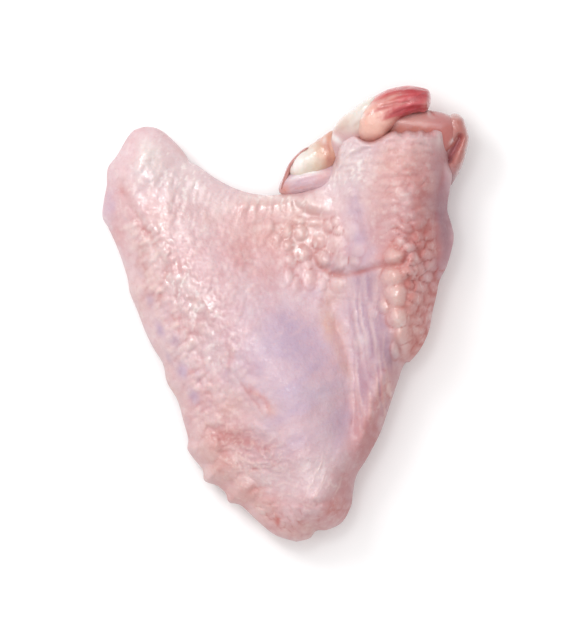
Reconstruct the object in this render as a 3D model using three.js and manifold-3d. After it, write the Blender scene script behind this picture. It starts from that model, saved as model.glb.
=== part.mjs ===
// A raw turkey wing of two joints, forearm and upper arm, lying on a table with its thin-skinned side up.
//
// The frame is in millimetres: +Z is up, the table is at z = 0, +Y runs from the elbow to the shoulder, and
// the origin lies under the middle of the wing. The elbow is at -Y, the wrist at -X +Y, and the shoulder,
// where the wing was cut from the bird, at +X +Y. A web of skin joins the two limbs between wrist and
// shoulder.
//
// The skinned body is a pillow: a top sheet and an underside over one outline. Each sheet rises from the
// height of the edge, round a quarter ellipse, to a field of heights that holds two limbs and the web.
// The muscles and the gristle that show at the shoulder are lobes that run down into sockets in the upper
// arm.

import * as THREE from "three";
import { mergeVertices } from "three/addons/utils/BufferGeometryUtils.js";
import Module from "manifold-3d";

const wasm = await Module();
wasm.setup();

// ---------------------------------------------------------------- driving dimensions, millimetres

const GAP = 0.35; // between two pieces that touch
const WEB_TOP = 18; // height of the web's upper skin above the table
const WEB_UNDER = 5; // height of its lower skin
const SINK = 2.2; // how far the limbs would dip below the table: this much is pressed flat

// The outline seen from above, from the elbow's tip. The edge bulges where the big quill follicles are.
const FOREARM_EDGE = [
  [5, -95.6], [-4, -92.8], [-12, -86.4], [-18.5, -80.4], [-23.3, -79.2], [-24.9, -75.2], [-28.5, -72.2],
  [-33.6, -70.2], [-34.5, -65.6], [-37.8, -61.4], [-40.8, -57], [-40.6, -52.4], [-42.6, -45],
  [-45, -36.6], [-49.5, -28.6], [-51.2, -21], [-55.4, -14], [-58.8, -7], [-61.8, 1], [-65.1, 9],
  [-66.2, 15.5], [-70, 27], [-74, 36], [-76.6, 41], [-75.9, 48.4], [-74.8, 54], [-74.3, 61.4],
  [-70.3, 67], [-66, 74.4], [-63.3, 77.4],
];
const WEB_EDGE = [
  [-63.3, 77.4], [-58, 78.8], [-51.5, 77], [-43.4, 69.4], [-39.8, 64.2], [-36, 62.1], [-28, 56.5],
  [-19, 52.2], [-9, 50.1], [3, 50.9], [11, 53.2], [16, 56], [18.8, 60], [20.4, 64.4], [21.8, 69.6],
  [24.4, 74.2], [29, 75.6], [33, 73.2], [36.6, 72.5], [40.5, 74.4], [43.5, 76.1], [46, 76.9], [48.6, 76],
  [51, 77.4], [54, 76.6], [57, 77.5], [59.4, 76.5], [62, 78.2], [65.6, 78.2], [67.6, 77],
];
const UPPER_ARM_EDGE = [
  [5, -95.6], [10.5, -94.2], [13.4, -91], [18, -90.6], [24, -87.6], [27.8, -81], [28.8, -75],
  [30.4, -67.5], [35, -60], [40.3, -49.6], [43.6, -40], [47, -30], [50.2, -21.2], [52.8, -19.8],
  [57.2, -14.4], [60.6, -7], [61.9, 0], [64, 9], [65, 14], [68.2, 20.6], [70.9, 31.4], [69.8, 38],
  [68.2, 44], [69.2, 52], [70.2, 58], [68.4, 64], [68.6, 71], [67.6, 77],
];

// Along each edge: [share of its length, width of the rounding inside it, height of the edge].
const FOREARM_ROUNDING = [
  [0, 16, 15], [0.12, 12, 11], [0.3, 12, 8], [0.6, 14, 8], [0.85, 13, 11], [1, 13, 12],
];
const WEB_ROUNDING = [
  [0, 13, 12], [0.12, 11, 11], [0.24, 7, 10], [0.5, 5, 11], [0.62, 4, 15], [0.72, 3, 22], [0.8, 3, 22],
  [1, 4, 20],
];
const UPPER_ARM_ROUNDING = [
  [0, 16, 15], [0.15, 15, 15], [0.45, 17, 16], [0.7, 20, 20], [0.92, 15, 22], [1, 4, 20],
];
const BEND_POWER = 3; // how fast the rows straighten below the web's edge
const COLUMN_LEAN = 0.05; // how far the columns lean back along the web's edge, clear of its step

// The ridges of the two limbs, from the elbow out: [x, y, spread to the sides, height of the crest].
const FOREARM_RIDGE = [
  [10, -78, 17, 33], [8, -60, 21, 37], [3, -34, 24, 36], [-22, 0, 22, 31], [-48, 34, 18, 27],
  [-59, 62, 14, 26],
];
const UPPER_ARM_RIDGE = [
  [14, -78, 15, 32], [32, -55, 11, 31], [42, -28, 12, 34], [49, 4, 17, 41], [49, 40, 20, 44],
  [48, 80, 22, 43],
];

// Folds of the skin: the line of the groove, its width and depth, and the height of the lip beside it,
// which is on the left of the line where that is over 0 and on the right where it is under.
const FOLDS = [
  {
    line: [[12, 26], [14.2, 20.4], [19, 17], [25, 16.2], [31, 17.4], [38, 19.6], [48, 20.6]],
    width: 2.2, depth: 1.7, lip: 1.6,
  },
  {
    line: [[41, 9], [43, 4], [43.6, -1], [45.5, -6], [46.6, -11], [48.5, -16], [50, -20]],
    width: 2.2, depth: 1.3, lip: 1.4,
  },
  { line: [[-68, 51], [-60, 38], [-51, 22], [-47, 10], [-42, -4]], width: 2.4, depth: 1.1, lip: 0 },
  { line: [[4, 47], [8, 43.5], [13, 41.3], [19, 41.6]], width: 2, depth: 0.8, lip: 0.6 },
  {
    line: [[20, -78], [24, -72], [26, -64], [28, -54], [29.5, -42], [28.5, -28], [24.5, -14]],
    width: 2.8, depth: 1.2, lip: 0,
  },
  { line: [[-37, -42], [-31, -48], [-25, -50.5], [-15, -52], [-5, -55]], width: 3, depth: 1.3, lip: 0 },
  {
    line: [[66.5, 64], [66, 57], [64, 52], [62.6, 46], [63.4, 35], [64, 25], [62, 15]],
    width: 2, depth: 1.3, lip: 0,
  },
];

// The largest follicles and pads of fat: [x, y, radius, height].
const LUMPS = [
  [-31.5, -57, 5.5, 1.6], [-24.5, -65, 6, 2], [-17.5, -73.5, 6, 2], [-7, -77, 6, 1.4], [-14, -62, 6, 1],
  [45.4, 24, 5.4, 1.3], [45.2, 15.4, 5.4, 1.8], [46.4, 6.6, 5.6, 1.8], [47.6, -1.8, 5.4, 1.6],
  [50, -9, 5.6, 1.6], [53, -15, 5, 1.4], [21.4, 21.4, 5.6, 1.6], [13.5, 28, 6, 1.2],
];

// Lobes at the shoulder. A lobe follows a line, [x, y, half width, bottom, top], and is rounded off over
// the given shares of its length at the start and at the end. "power" squares off its section.
const RED_MUSCLE = [
  {
    line: [
      [35.9, 70.6, 4.6, 15, 30], [36.6, 76.2, 6.6, 15, 34], [38.7, 81.4, 7.5, 14.5, 36],
      [43.4, 86.1, 7.1, 14, 36], [50, 88.8, 6.3, 14, 35], [56, 89.4, 5.4, 14.5, 34],
      [61.2, 88.8, 4.6, 15, 31.5],
    ],
    ends: [0.14, 0.07], power: 2.7,
  },
  {
    line: [[35, 28, 4, 16, 24], [38, 55, 6, 13, 27], [42, 82, 6.5, 14, 32]],
    ends: [0.15, 0.1], power: 2.4,
  },
];
const PALE_MUSCLE = [
  {
    line: [
      [46, 20, 5, 17, 28], [50, 45, 9, 13, 31], [54.4, 66, 11, 12, 31], [55.8, 72, 14, 12, 31],
      [57, 76, 16, 12, 31.5], [57.9, 80.4, 17, 12, 32], [58.2, 85.6, 17.2, 14, 30.5],
    ],
    ends: [0.12, 0.13], power: 3.4,
  },
];
const FLANK_FLAP = [
  {
    line: [
      [70.6, 54.5, 1.8, 15, 21], [70.5, 60, 2.9, 14, 24], [71.3, 66, 4.2, 12, 27],
      [72.1, 72, 4.8, 11, 28.5], [71.8, 78, 4.2, 12, 29.5], [71, 84, 3.2, 15, 29.5],
    ],
    ends: [0.18, 0.12], power: 2.4,
  },
];
const LOWER_SLIP = [
  {
    line: [
      [-2.2, 51.3, 2.8, 6, 14], [4.6, 55, 5, 4, 18.5], [12, 56.8, 5.5, 4, 20.5], [20, 58, 6, 5, 19],
      [29, 55.5, 3.6, 8, 15],
    ],
    ends: [0.14, 0.16], power: 2.3,
  },
];
const GRISTLE = [
  {
    line: [
      [3.6, 57, 3.6, 10, 18], [8.4, 62.3, 5.5, 9, 20.5], [14.8, 66, 6.4, 8, 22], [20, 70.4, 5.8, 9, 21.5],
      [25, 75.6, 4.4, 12, 21],
    ],
    ends: [0.12, 0.14], power: 2.2,
  },
];
const SHOULDER_SHEATH = [
  {
    line: [
      [25.2, 63, 3.6, 12, 19], [24.3, 67.6, 4.8, 11, 22], [24.9, 71.8, 5.9, 10, 25.2],
      [27, 76.2, 6.5, 10, 28.5], [31.4, 80.8, 5.7, 11, 31.5], [35.4, 86, 4, 13, 33.5],
      [40, 90.4, 2.2, 17, 31],
    ],
    ends: [0.12, 0.1], power: 2.8,
  },
];
const JOINT_CAPSULE = [
  {
    line: [
      [-1.1, 51.2, 1, 7, 13.5], [-0.2, 55, 1.1, 7, 15.5], [1.2, 59, 1.1, 7, 16.5],
      [2.7, 62.8, 0.9, 8, 17.5], [5.2, 66, 0.9, 8, 18], [8.2, 68.7, 0.9, 9, 18.5],
      [10.8, 70, 0.8, 11, 19],
    ],
    ends: [0.1, 0.1], power: 3,
  },
];

// Facets: rows from the elbow up and columns across, both even, and the rings and sides of a lobe.
const BODY_ROWS = 60;
const BODY_COLUMNS = 40;
const LOBE_RINGS = 13;
const LOBE_SIDES = 16;
const SIMPLIFY = 0.08; // facets may be merged where the surface moves by less than this

// ---------------------------------------------------------------- small helpers

const clamp = (x, low, high) => Math.min(Math.max(x, low), high);

// Value number `column` of a table of rows [key, values...] at `key`, in straight steps between rows.
function readTable(table, key, column) {
  let i = 0;
  while (i < table.length - 2 && key > table[i + 1][0]) i++;
  const [from, to] = [table[i], table[i + 1]];
  const t = clamp((key - from[0]) / (to[0] - from[0]), 0, 1);
  return from[column] + t * (to[column] - from[column]);
}

// The nearest point of a line of points to (x, y), looking at segments `from` to `to` only: its distance,
// which segment it is on, how far along that, and how far (x, y) is to the left of that segment.
function nearestOnLine(points, x, y, from = 0, to = points.length - 2) {
  let best = { distance: Infinity };
  for (let i = Math.max(from, 0); i <= Math.min(to, points.length - 2); i++) {
    const [ax, ay] = points[i];
    const [dx, dy] = [points[i + 1][0] - ax, points[i + 1][1] - ay];
    const length = Math.hypot(dx, dy) || 1;
    const t = clamp(((x - ax) * dx + (y - ay) * dy) / (length * length), 0, 1);
    const [ox, oy] = [x - ax - t * dx, y - ay - t * dy];
    const distance = Math.hypot(ox, oy);
    if (distance < best.distance) best = { distance, i, t, left: (dx * oy - dy * ox) / length };
  }
  return best;
}

// Evenly spaced points of a smooth curve through the points of an edge.
function smoothEdge(points, steps) {
  const curve = new THREE.SplineCurve(points.map(([x, y]) => new THREE.Vector2(x, y)));
  curve.arcLengthDivisions = 1200;
  return { at: (share) => curve.getPointAt(clamp(share, 0, 1)), samples: curve.getSpacedPoints(steps) };
}

// Shares from 0 to 1 in `count` steps that crowd towards both ends, as even steps round a quarter circle
// of width `start` there, then along a straight, then round a quarter circle of width `end`.
function roundedSteps(count, start, end) {
  const quarter = Math.PI / 2;
  const length = 1 - start - end + quarter * (start + end);
  return Array.from({ length: count + 1 }, (_, i) => {
    const s = (i / count) * length;
    if (s < start * quarter) return start * (1 - Math.cos(s / start));
    const left = length - s;
    if (left < end * quarter) return 1 - end * (1 - Math.cos(left / end));
    return start + s - start * quarter;
  });
}

// ---------------------------------------------------------------- the skinned body

const forearm = smoothEdge(FOREARM_EDGE, 150);
const web = smoothEdge(WEB_EDGE, 130);
const upperArm = smoothEdge(UPPER_ARM_EDGE, 150);

// The points of an edge as [x, y, rounding width, edge height].
function rimPoints(edge, rounding) {
  return edge.samples.map((p, i) => {
    const share = i / (edge.samples.length - 1);
    return [p.x, p.y, readTable(rounding, share, 1), readTable(rounding, share, 2)];
  });
}

// The rim in one round: up the forearm, along the web to the shoulder, and back down the upper arm.
const rim = [
  ...rimPoints(forearm, FOREARM_ROUNDING),
  ...rimPoints(web, WEB_ROUNDING),
  ...rimPoints(upperArm, UPPER_ARM_ROUNDING).reverse(),
];

// A point of the plan: rows run from the forearm's edge to the upper arm's, bent towards the web's edge.
function planPoint(across, up) {
  const share = across - COLUMN_LEAN * Math.sin(Math.PI * across) ** 2;
  const [left, right, top] = [forearm.at(up), upperArm.at(up), web.at(share)];
  const [wrist, shoulder] = [web.at(0), web.at(1)];
  return ["x", "y"].map((k) => {
    const straight = (1 - across) * left[k] + across * right[k];
    return straight + up ** BEND_POWER * (top[k] - (1 - across) * wrist[k] - across * shoulder[k]);
  });
}

// Distance to the rim, and the rounding width and edge height there, averaged by nearness to be smooth.
function rimAt(x, y) {
  let [nearest, at, total, width, height] = [Infinity, 0, 0, 0, 0];
  for (let i = 0; i < rim.length; i++) {
    const [px, py, w, h] = rim[i];
    const squared = (x - px) ** 2 + (y - py) ** 2;
    const weight = 1 / (squared + 0.04) ** 2;
    if (squared < nearest) [nearest, at] = [squared, i];
    total += weight;
    width += weight * w;
    height += weight * h;
  }
  const { distance } = nearestOnLine(rim, x, y, at - 2, at + 1);
  return { distance, width: width / total, height: height / total };
}

// How much of a limb's crest is felt at (x, y), from 0 to 1, and the height of that crest.
function limbAt(ridge, x, y) {
  const { distance, i, t } = nearestOnLine(ridge, x, y);
  const mix = (k) => ridge[i][k] + t * (ridge[i + 1][k] - ridge[i][k]);
  return { share: Math.exp(-((distance / mix(2)) ** 2)), crest: mix(3) };
}

// Heights of the top skin and of the underside far from the rim: the limbs rise from the web both ways.
function fieldHeights(x, y) {
  const limbs = [limbAt(FOREARM_RIDGE, x, y), limbAt(UPPER_ARM_RIDGE, x, y)];
  const cubes = (f) => Math.cbrt(limbs.reduce((sum, limb) => sum + f(limb) ** 3, 0));
  const top = WEB_TOP + cubes(({ share, crest }) => share * (crest - WEB_TOP));
  const under = WEB_UNDER - Math.min(cubes(({ share }) => share), 1) * (WEB_UNDER + SINK);
  return { top, under };
}

// How far the skin stands out at (x, y): lumps rise, and folds sink with a lip beside them.
function relief(x, y) {
  let out = 0;
  for (const [cx, cy, radius, height] of LUMPS) {
    const q = Math.min(Math.hypot(x - cx, y - cy) / radius, 1);
    out += height * (1 - q * q) ** 1.5;
  }
  for (const { line, width, depth, lip } of FOLDS) {
    const { distance, left } = nearestOnLine(line, x, y);
    const beyond = distance * distance - left * left;
    const beside = (left * Math.sign(lip) - 2 * width) / (1.4 * width);
    out -= depth * Math.exp(-((distance / width) ** 2));
    out += Math.abs(lip) * Math.exp(-beside * beside - beyond / (4 * width * width));
  }
  return out;
}

// One point of a sheet. Only the top has the relief, which dies away at the rim.
function sheetPoint(across, up, isTop) {
  const [x, y] = planPoint(across, up);
  const edge = rimAt(x, y);
  const q = Math.min(edge.distance / edge.width, 1);
  const rise = Math.sqrt(q * (2 - q));
  const { top, under } = fieldHeights(x, y);
  const far = isTop ? top + relief(x, y) : under;
  return [x, y, Math.max(edge.height + rise * (far - edge.height), 0)];
}

// The closed mesh: a fine top sheet that ends in one point at the elbow's tip, and an underside with every
// second row and column, sewn to the rim by a ring of triangles.
function bodyGeometry() {
  const rows = roundedSteps(BODY_ROWS, 0.09, 0.06);
  const columns = roundedSteps(BODY_COLUMNS, 0.13, 0.16);
  const points = [];
  const faces = [];
  const add = (across, up, isTop) => points.push(sheetPoint(across, up, isTop)) - 1;
  const quad = (a, b, c, d) => faces.push([a, b, c], [a, c, d]);

  const tip = add(0.5, 0, true);
  const top = rows.slice(1).map((up) => columns.map((across) => add(across, up, true)));
  for (let j = 0; j < BODY_COLUMNS; j++) {
    faces.push([tip, top[0][j + 1], top[0][j]]);
    for (let i = 0; i + 1 < BODY_ROWS; i++) {
      quad(top[i][j], top[i][j + 1], top[i + 1][j + 1], top[i + 1][j]);
    }
  }

  const under = [];
  const everySecond = columns.filter((_, j) => j % 2 === 0 && j > 0 && j < BODY_COLUMNS);
  for (let i = 2; i < BODY_ROWS; i += 2) {
    under.push(everySecond.map((across) => add(across, rows[i], false)));
  }
  const [lastRow, lastColumn] = [under.length - 1, under[0].length - 1];
  for (let j = 0; j < lastColumn; j++) {
    faces.push([tip, under[0][j], under[0][j + 1]]);
    for (let i = 0; i < lastRow; i++) {
      quad(under[i][j], under[i + 1][j], under[i + 1][j + 1], under[i][j + 1]);
    }
  }

  // The rim from the tip up the forearm, along the web and back down the upper arm to the tip. Point 2k of
  // the rim is sewn to mates[k] of the underside.
  const edgeLoop = [
    tip,
    ...top.map((row) => row[0]),
    ...top[BODY_ROWS - 1].slice(1, -1),
    ...top.map((row) => row[BODY_COLUMNS]).reverse(),
    tip,
  ];
  const mates = [
    under[0][0],
    ...under.map((row) => row[0]),
    under[lastRow][0],
    ...under[lastRow],
    under[lastRow][lastColumn],
    ...under.map((row) => row[lastColumn]).reverse(),
    under[0][lastColumn],
  ];
  for (let k = 0; k + 1 < mates.length; k++) {
    const [a, b, c] = edgeLoop.slice(2 * k, 2 * k + 3);
    faces.push([a, b, mates[k]], [b, c, mates[k + 1]]);
    if (mates[k] !== mates[k + 1]) faces.push([b, mates[k + 1], mates[k]]);
  }

  const geometry = new THREE.BufferGeometry();
  geometry.setAttribute("position", new THREE.Float32BufferAttribute(points.flat(), 3));
  geometry.setIndex(faces.flat());
  return geometry;
}

// ---------------------------------------------------------------- the lobes at the shoulder

// A lobe carried along its line, each section a rounded box (a superellipse), `grow` wider on every side.
function lobeGeometry({ line, ends, power }, grow) {
  const curve = new THREE.SplineCurve(line.map(([x, y]) => new THREE.Vector2(x, y)));
  const shares = roundedSteps(LOBE_RINGS, ends[0], ends[1]);
  const sizes = line.map(([, , halfWidth, bottom, top], i) => {
    return [i / (line.length - 1), halfWidth, (bottom + top) / 2, (top - bottom) / 2];
  });
  const points = [];
  for (const share of shares) {
    const fromEnd = Math.min(share / ends[0], (1 - share) / ends[1], 1);
    const scale = Math.sqrt(fromEnd * (2 - fromEnd));
    const centre = curve.getPointAt(share);
    const tangent = curve.getTangentAt(share);
    const at = curve.getUtoTmapping(share);
    const [halfWidth, middle, halfHeight] = [1, 2, 3].map((k) => readTable(sizes, at, k));
    centre.addScaledVector(tangent, grow * (2 * share - 1));
    if (share === 0 || share === 1) points.push([centre.x, centre.y, middle]);
    for (let j = 0; j < LOBE_SIDES && share > 0 && share < 1; j++) {
      const angle = (2 * Math.PI * j) / LOBE_SIDES;
      const [c, s] = [Math.cos(angle), Math.sin(angle)];
      const round = (Math.abs(c) ** power + Math.abs(s) ** power) ** (-1 / power);
      const aside = (halfWidth * scale + grow) * c * round;
      const aloft = (halfHeight * scale + grow) * s * round;
      points.push([centre.x + aside * tangent.y, centre.y - aside * tangent.x, middle + aloft]);
    }
  }
  const last = points.length - 1;
  const rings = LOBE_RINGS - 1;
  const index = (ring, side) => 1 + ring * LOBE_SIDES + (side % LOBE_SIDES);
  const faces = [];
  for (let j = 0; j < LOBE_SIDES; j++) {
    faces.push(0, index(0, j), index(0, j + 1), last, index(rings - 1, j + 1), index(rings - 1, j));
    for (let i = 0; i + 1 < rings; i++) {
      const [a, b, c, d] = [index(i, j), index(i + 1, j), index(i + 1, j + 1), index(i, j + 1)];
      faces.push(a, b, c, a, c, d);
    }
  }
  const geometry = new THREE.BufferGeometry();
  geometry.setAttribute("position", new THREE.Float32BufferAttribute(points.flat(), 3));
  geometry.setIndex(faces);
  return geometry;
}

// ---------------------------------------------------------------- solids and their meshes

// A closed geometry as a solid that can be cut.
function solidOf(geometry) {
  const merged = mergeVertices(geometry, 1e-4);
  return new wasm.Manifold(
    new wasm.Mesh({
      numProp: 3,
      vertProperties: merged.attributes.position.array,
      triVerts: new Uint32Array(merged.index.array),
    }),
  );
}

const solidOfLobes = (lobes, grow) => lobes.map((lobe) => solidOf(lobeGeometry(lobe, grow))).reduce(joined);
const joined = (a, b) => a.add(b);
const less = (a, b) => a.subtract(b);

// The largest body of a solid, with needless facets merged, as a named mesh.
function meshOf(name, solid, look) {
  const bodies = solid.simplify(SIMPLIFY).decompose().sort((a, b) => b.volume() - a.volume());
  const { vertProperties, triVerts } = bodies[0].getMesh();
  const geometry = new THREE.BufferGeometry();
  geometry.setAttribute("position", new THREE.Float32BufferAttribute(vertProperties, 3));
  geometry.setIndex(Array.from(triVerts));
  geometry.computeVertexNormals();
  const mesh = new THREE.Mesh(geometry, new THREE.MeshStandardMaterial({ ...look, metalness: 0 }));
  mesh.name = name;
  return mesh;
}

// Lobes in the order in which they keep their shape: each is cut clear of those before it, and the skinned
// body of them all.
const LOBES = [
  ["red_muscle", RED_MUSCLE, { color: 0xcc7069, roughness: 0.3 }],
  ["pale_muscle", PALE_MUSCLE, { color: 0xdca39a, roughness: 0.35 }],
  ["shoulder_gristle", GRISTLE, { color: 0xf2e2cf, roughness: 0.3 }],
  ["shoulder_sheath", SHOULDER_SHEATH, { color: 0xe9d3c9, roughness: 0.3 }],
  ["lower_slip", LOWER_SLIP, { color: 0xd8b4bf, roughness: 0.35 }],
  ["joint_capsule", JOINT_CAPSULE, { color: 0xc08a80, roughness: 0.35 }],
  ["flank_flap", FLANK_FLAP, { color: 0xd99a8a, roughness: 0.35 }],
];

const wing = new THREE.Group();
wing.name = "raw_turkey_wing";
const rooms = [];
for (const [name, lobes, look] of LOBES) {
  wing.add(meshOf(name, rooms.reduce(less, solidOfLobes(lobes, 0)), look));
  rooms.push(solidOfLobes(lobes, GAP));
}
const skin = rooms.reduce(less, solidOf(bodyGeometry()));
wing.add(meshOf("wing_skin", skin, { color: 0xe3bfbd, roughness: 0.4 }));

export default wing;
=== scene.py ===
import bpy
import numpy as np
from bpy.props import FloatProperty, FloatVectorProperty, PointerProperty
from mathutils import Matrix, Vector


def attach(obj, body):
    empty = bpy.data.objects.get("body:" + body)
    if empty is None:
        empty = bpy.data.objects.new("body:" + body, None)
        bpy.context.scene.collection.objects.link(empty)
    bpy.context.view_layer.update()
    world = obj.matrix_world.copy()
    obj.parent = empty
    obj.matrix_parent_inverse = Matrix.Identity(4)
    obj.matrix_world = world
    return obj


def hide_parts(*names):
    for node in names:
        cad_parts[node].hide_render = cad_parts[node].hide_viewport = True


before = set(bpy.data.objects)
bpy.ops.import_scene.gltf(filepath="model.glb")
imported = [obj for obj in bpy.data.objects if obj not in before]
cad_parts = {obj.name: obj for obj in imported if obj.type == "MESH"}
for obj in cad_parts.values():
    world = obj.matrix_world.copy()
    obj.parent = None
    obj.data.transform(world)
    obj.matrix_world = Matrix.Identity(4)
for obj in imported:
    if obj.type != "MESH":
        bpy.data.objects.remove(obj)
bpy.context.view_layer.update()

bl_info = {
    "name": "Raw turkey wing",
    "version": (1, 0, 0),
    "blender": (4, 5, 0),
    "location": "3D View > Sidebar > Wing",
    "description": "Dresses a raw two-joint turkey wing with skin, muscle and gristle",
    "category": "Object",
}

MM = 0.001  # the tables below are in millimetres

# ------------------------------------------------------------------ sizes of the skinned body

WEB_TOP, WEB_UNDER = 18.0, 5.0  # heights of the two skins of the web
SINK = 2.2  # how far the limbs' undersides reach below the table before it cuts them flat
BEND_POWER, COLUMN_LEAN = 3, 0.05  # how the rows bend to the web's edge, and how the columns lean there
BODY_ROWS, BODY_COLUMNS = 300, 250
ROW_ENDS, COLUMN_ENDS = (0.09, 0.06), (0.13, 0.16)  # shares of the grid that crowd at its ends
RIM_SAMPLES = 131  # along each of the three edges
CURVE_STEPS = 24  # between two points of a smooth curve
CUT_BAND_TOP, CUT_BAND_UNDER = 1.1, 5  # widths of the raw pink band along the cut
UNDER_RELIEF = 0.6  # share of the fine relief that the underside takes
BEAD_SPREAD, BEAD_RISE = 1.12, 1.15  # factors on the radii and heights of the table of beads

# Cells of the bumpy patterns: how far a centre strays from its cell's middle, how steep its bowl is, and how
# sharply neighbours meet. Layered noise has so many layers.
CENTRE_SHAKE, BOWL_STEEPNESS, MERGE_SHARPNESS = 0.7, 1.7, 7.0
LAYERS = 3

# The outline seen from above: up the forearm, along the web to the shoulder, and up the upper arm.
FOREARM_EDGE = [
    (5, -95.6), (-4, -92.8), (-12, -86.4), (-18.5, -80.4), (-23.3, -79.2), (-24.9, -75.2), (-28.5, -72.2),
    (-33.6, -70.2), (-34.5, -65.6), (-37.8, -61.4), (-40.8, -57), (-40.6, -52.4), (-42.6, -45),
    (-45, -36.6), (-49.5, -28.6), (-51.2, -21), (-55.4, -14), (-58.8, -7), (-61.8, 1), (-65.1, 9),
    (-66.2, 15.5), (-70, 27), (-74, 36), (-76.6, 41), (-75.9, 48.4), (-74.8, 54), (-74.3, 61.4),
    (-70.3, 67), (-66, 74.4), (-63.3, 77.4),
]
WEB_EDGE = [
    (-63.3, 77.4), (-58, 78.8), (-51.5, 77), (-43.4, 69.4), (-39.8, 64.2), (-36, 62.1), (-28, 56.5),
    (-19, 52.2), (-9, 50.1), (3, 50.9), (11, 53.2), (16, 56), (18.8, 60), (20.4, 64.4), (21.8, 69.6),
    (24.4, 74.2), (29, 75.6), (33, 73.2), (36.6, 72.5), (40.5, 74.4), (43.5, 76.1), (46, 76.9), (48.6, 76),
    (51, 77.4), (54, 76.6), (57, 77.5), (59.4, 76.5), (62, 78.2), (65.6, 78.2), (67.6, 77),
]
UPPER_ARM_EDGE = [
    (5, -95.6), (10.5, -94.2), (13.4, -91), (18, -90.6), (24, -87.6), (27.8, -81), (28.8, -75),
    (30.4, -67.5), (35, -60), (40.3, -49.6), (43.6, -40), (47, -30), (50.2, -21.2), (52.8, -19.8),
    (57.2, -14.4), (60.6, -7), (61.9, 0), (64, 9), (65, 14), (68.2, 20.6), (70.9, 31.4), (69.8, 38),
    (68.2, 44), (69.2, 52), (70.2, 58), (68.4, 64), (68.6, 71), (67.6, 77),
]

# Along each edge: (share of its length, width of the rounding inside it, height of the edge).
FOREARM_ROUNDING = [
    (0, 16, 15), (0.12, 12, 11), (0.3, 12, 8), (0.6, 14, 8), (0.85, 13, 11), (1, 13, 12),
]
WEB_ROUNDING = [
    (0, 13, 12), (0.12, 11, 11), (0.24, 7, 10), (0.5, 5, 11), (0.62, 4, 15), (0.72, 3, 22), (0.8, 3, 22),
    (1, 4, 20),
]
UPPER_ARM_ROUNDING = [
    (0, 16, 15), (0.15, 15, 15), (0.45, 17, 16), (0.7, 20, 20), (0.87, 15, 22), (0.94, 7, 23), (1, 3.5, 21),
]

# Ridges of the limbs from the elbow out: (x, y, spread to the sides, height of the crest).
FOREARM_RIDGE = [
    (10, -78, 17, 33), (8, -60, 21, 37), (3, -34, 24, 36), (-22, 0, 22, 31), (-48, 34, 18, 27),
    (-59, 62, 14, 26),
]
UPPER_ARM_RIDGE = [
    (14, -78, 15, 32), (32, -55, 11, 31), (42, -28, 12, 34), (49, 4, 17, 41), (49, 40, 20, 44),
    (48, 80, 22, 43),
]

# Folds: (line of the groove, its width, its depth, height of the lip at its left, how red).
FOLDS = [
    ([(12, 26), (14.2, 20.4), (19, 17), (25, 16.2), (31, 17.4), (38, 19.6), (48, 20.6)], 1.5, 1.2, 1.5, 1.0),
    ([(41, 9), (43, 4), (43.6, -1), (45.5, -6), (46.6, -11), (48.5, -16), (50, -20)], 1.2, 0.9, 0.4, 0.6),
    ([(-70, 54), (-66, 48), (-60, 38), (-57, 33), (-51, 22), (-47, 10), (-42, -4)], 1.5, 0.7, 0.9, 0.15),
    ([(4, 47), (8, 43.5), (13, 41.3), (19, 41.6)], 1.5, 0.9, 0.7, 0.5),
    ([(20, -78), (24, -72), (26, -64), (28, -54), (29.5, -42), (28.5, -28)], 3.0, 1.2, 0, 0.25),
    ([(28, -28), (24.5, -14), (21, -2), (18, 8)], 2.4, 0.7, 0, 0.25),
    ([(-37, -42), (-31, -48), (-25, -50.5), (-15, -52), (-5, -55)], 3.0, 0.8, 0.2, 0.35),
    ([(-37, -53), (-31, -64), (-23, -72), (-12, -79), (-2, -84)], 2.0, 0.4, 0, 0.2),
    ([(29.2, -37), (29.6, -41), (28.4, -46)], 0.8, 0.7, 0, 0.6),
    ([(-23, -15), (-23, -23), (-24, -30)], 1.1, 0.1, 0.1, 0.25),
    ([(-20, -26), (-17, -30), (-14, -34.5), (-11, -38), (-8, -43)], 1.0, 0.12, 0.1, 0.35),
    ([(36, 71), (33, 60), (30.5, 50), (31, 38), (34, 28)], 0.9, 0.5, 0.3, 0.1),
    ([(23, 63), (28, 66), (34, 69), (39, 71)], 0.9, 0.6, 0.4, 0.1),
    ([(29, 40), (31, 34), (31.5, 28)], 0.7, 0.4, 0.3, 0.1),
    ([(34, 42), (35.5, 34), (34.5, 27)], 0.7, 0.4, 0.3, 0.1),
    ([(66.5, 64), (66, 57), (64, 52), (62.6, 46), (63.4, 35), (64, 25), (62, 15)], 1.4, 1.3, 0, 0.3),
    ([(-18, -76), (-12, -73), (-3, -72)], 1.1, 0.4, 0.2, 0.35),
    ([(0, -88), (4, -90), (9, -93)], 0.9, 0.8, 0, 0.7),
    ([(9, -80), (16, -79), (22, -74.5), (26, -67)], 1.6, 0.9, 0.6, 0.4),
]

# Fine pale folds of the skin at the elbow: (line, width, height).
ELBOW_CREASES = [
    ([(-4, -72), (-1, -70.6), (2, -70.8), (5, -71.8)], 0.4, 0.35),
    ([(11.5, -77.5), (13.6, -74), (16, -70), (17, -66)], 0.35, 0.35),
    ([(12.5, -77), (15.4, -73), (17.8, -67.5)], 0.3, 0.3),
    ([(14, -66), (15.6, -62), (16, -58)], 0.3, 0.25),
    ([(18, -70), (20, -72), (22.4, -72.4)], 0.3, 0.25),
    ([(20.5, -75.5), (23, -72), (24, -68)], 0.35, 0.3),
    ([(0, -75), (5, -75.6), (9, -77.6)], 0.3, 0.25),
    ([(9, -73), (12, -70), (13.6, -65)], 0.3, 0.2),
    ([(7, -79), (11, -80), (15, -78.4)], 0.35, 0.25),
]

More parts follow.
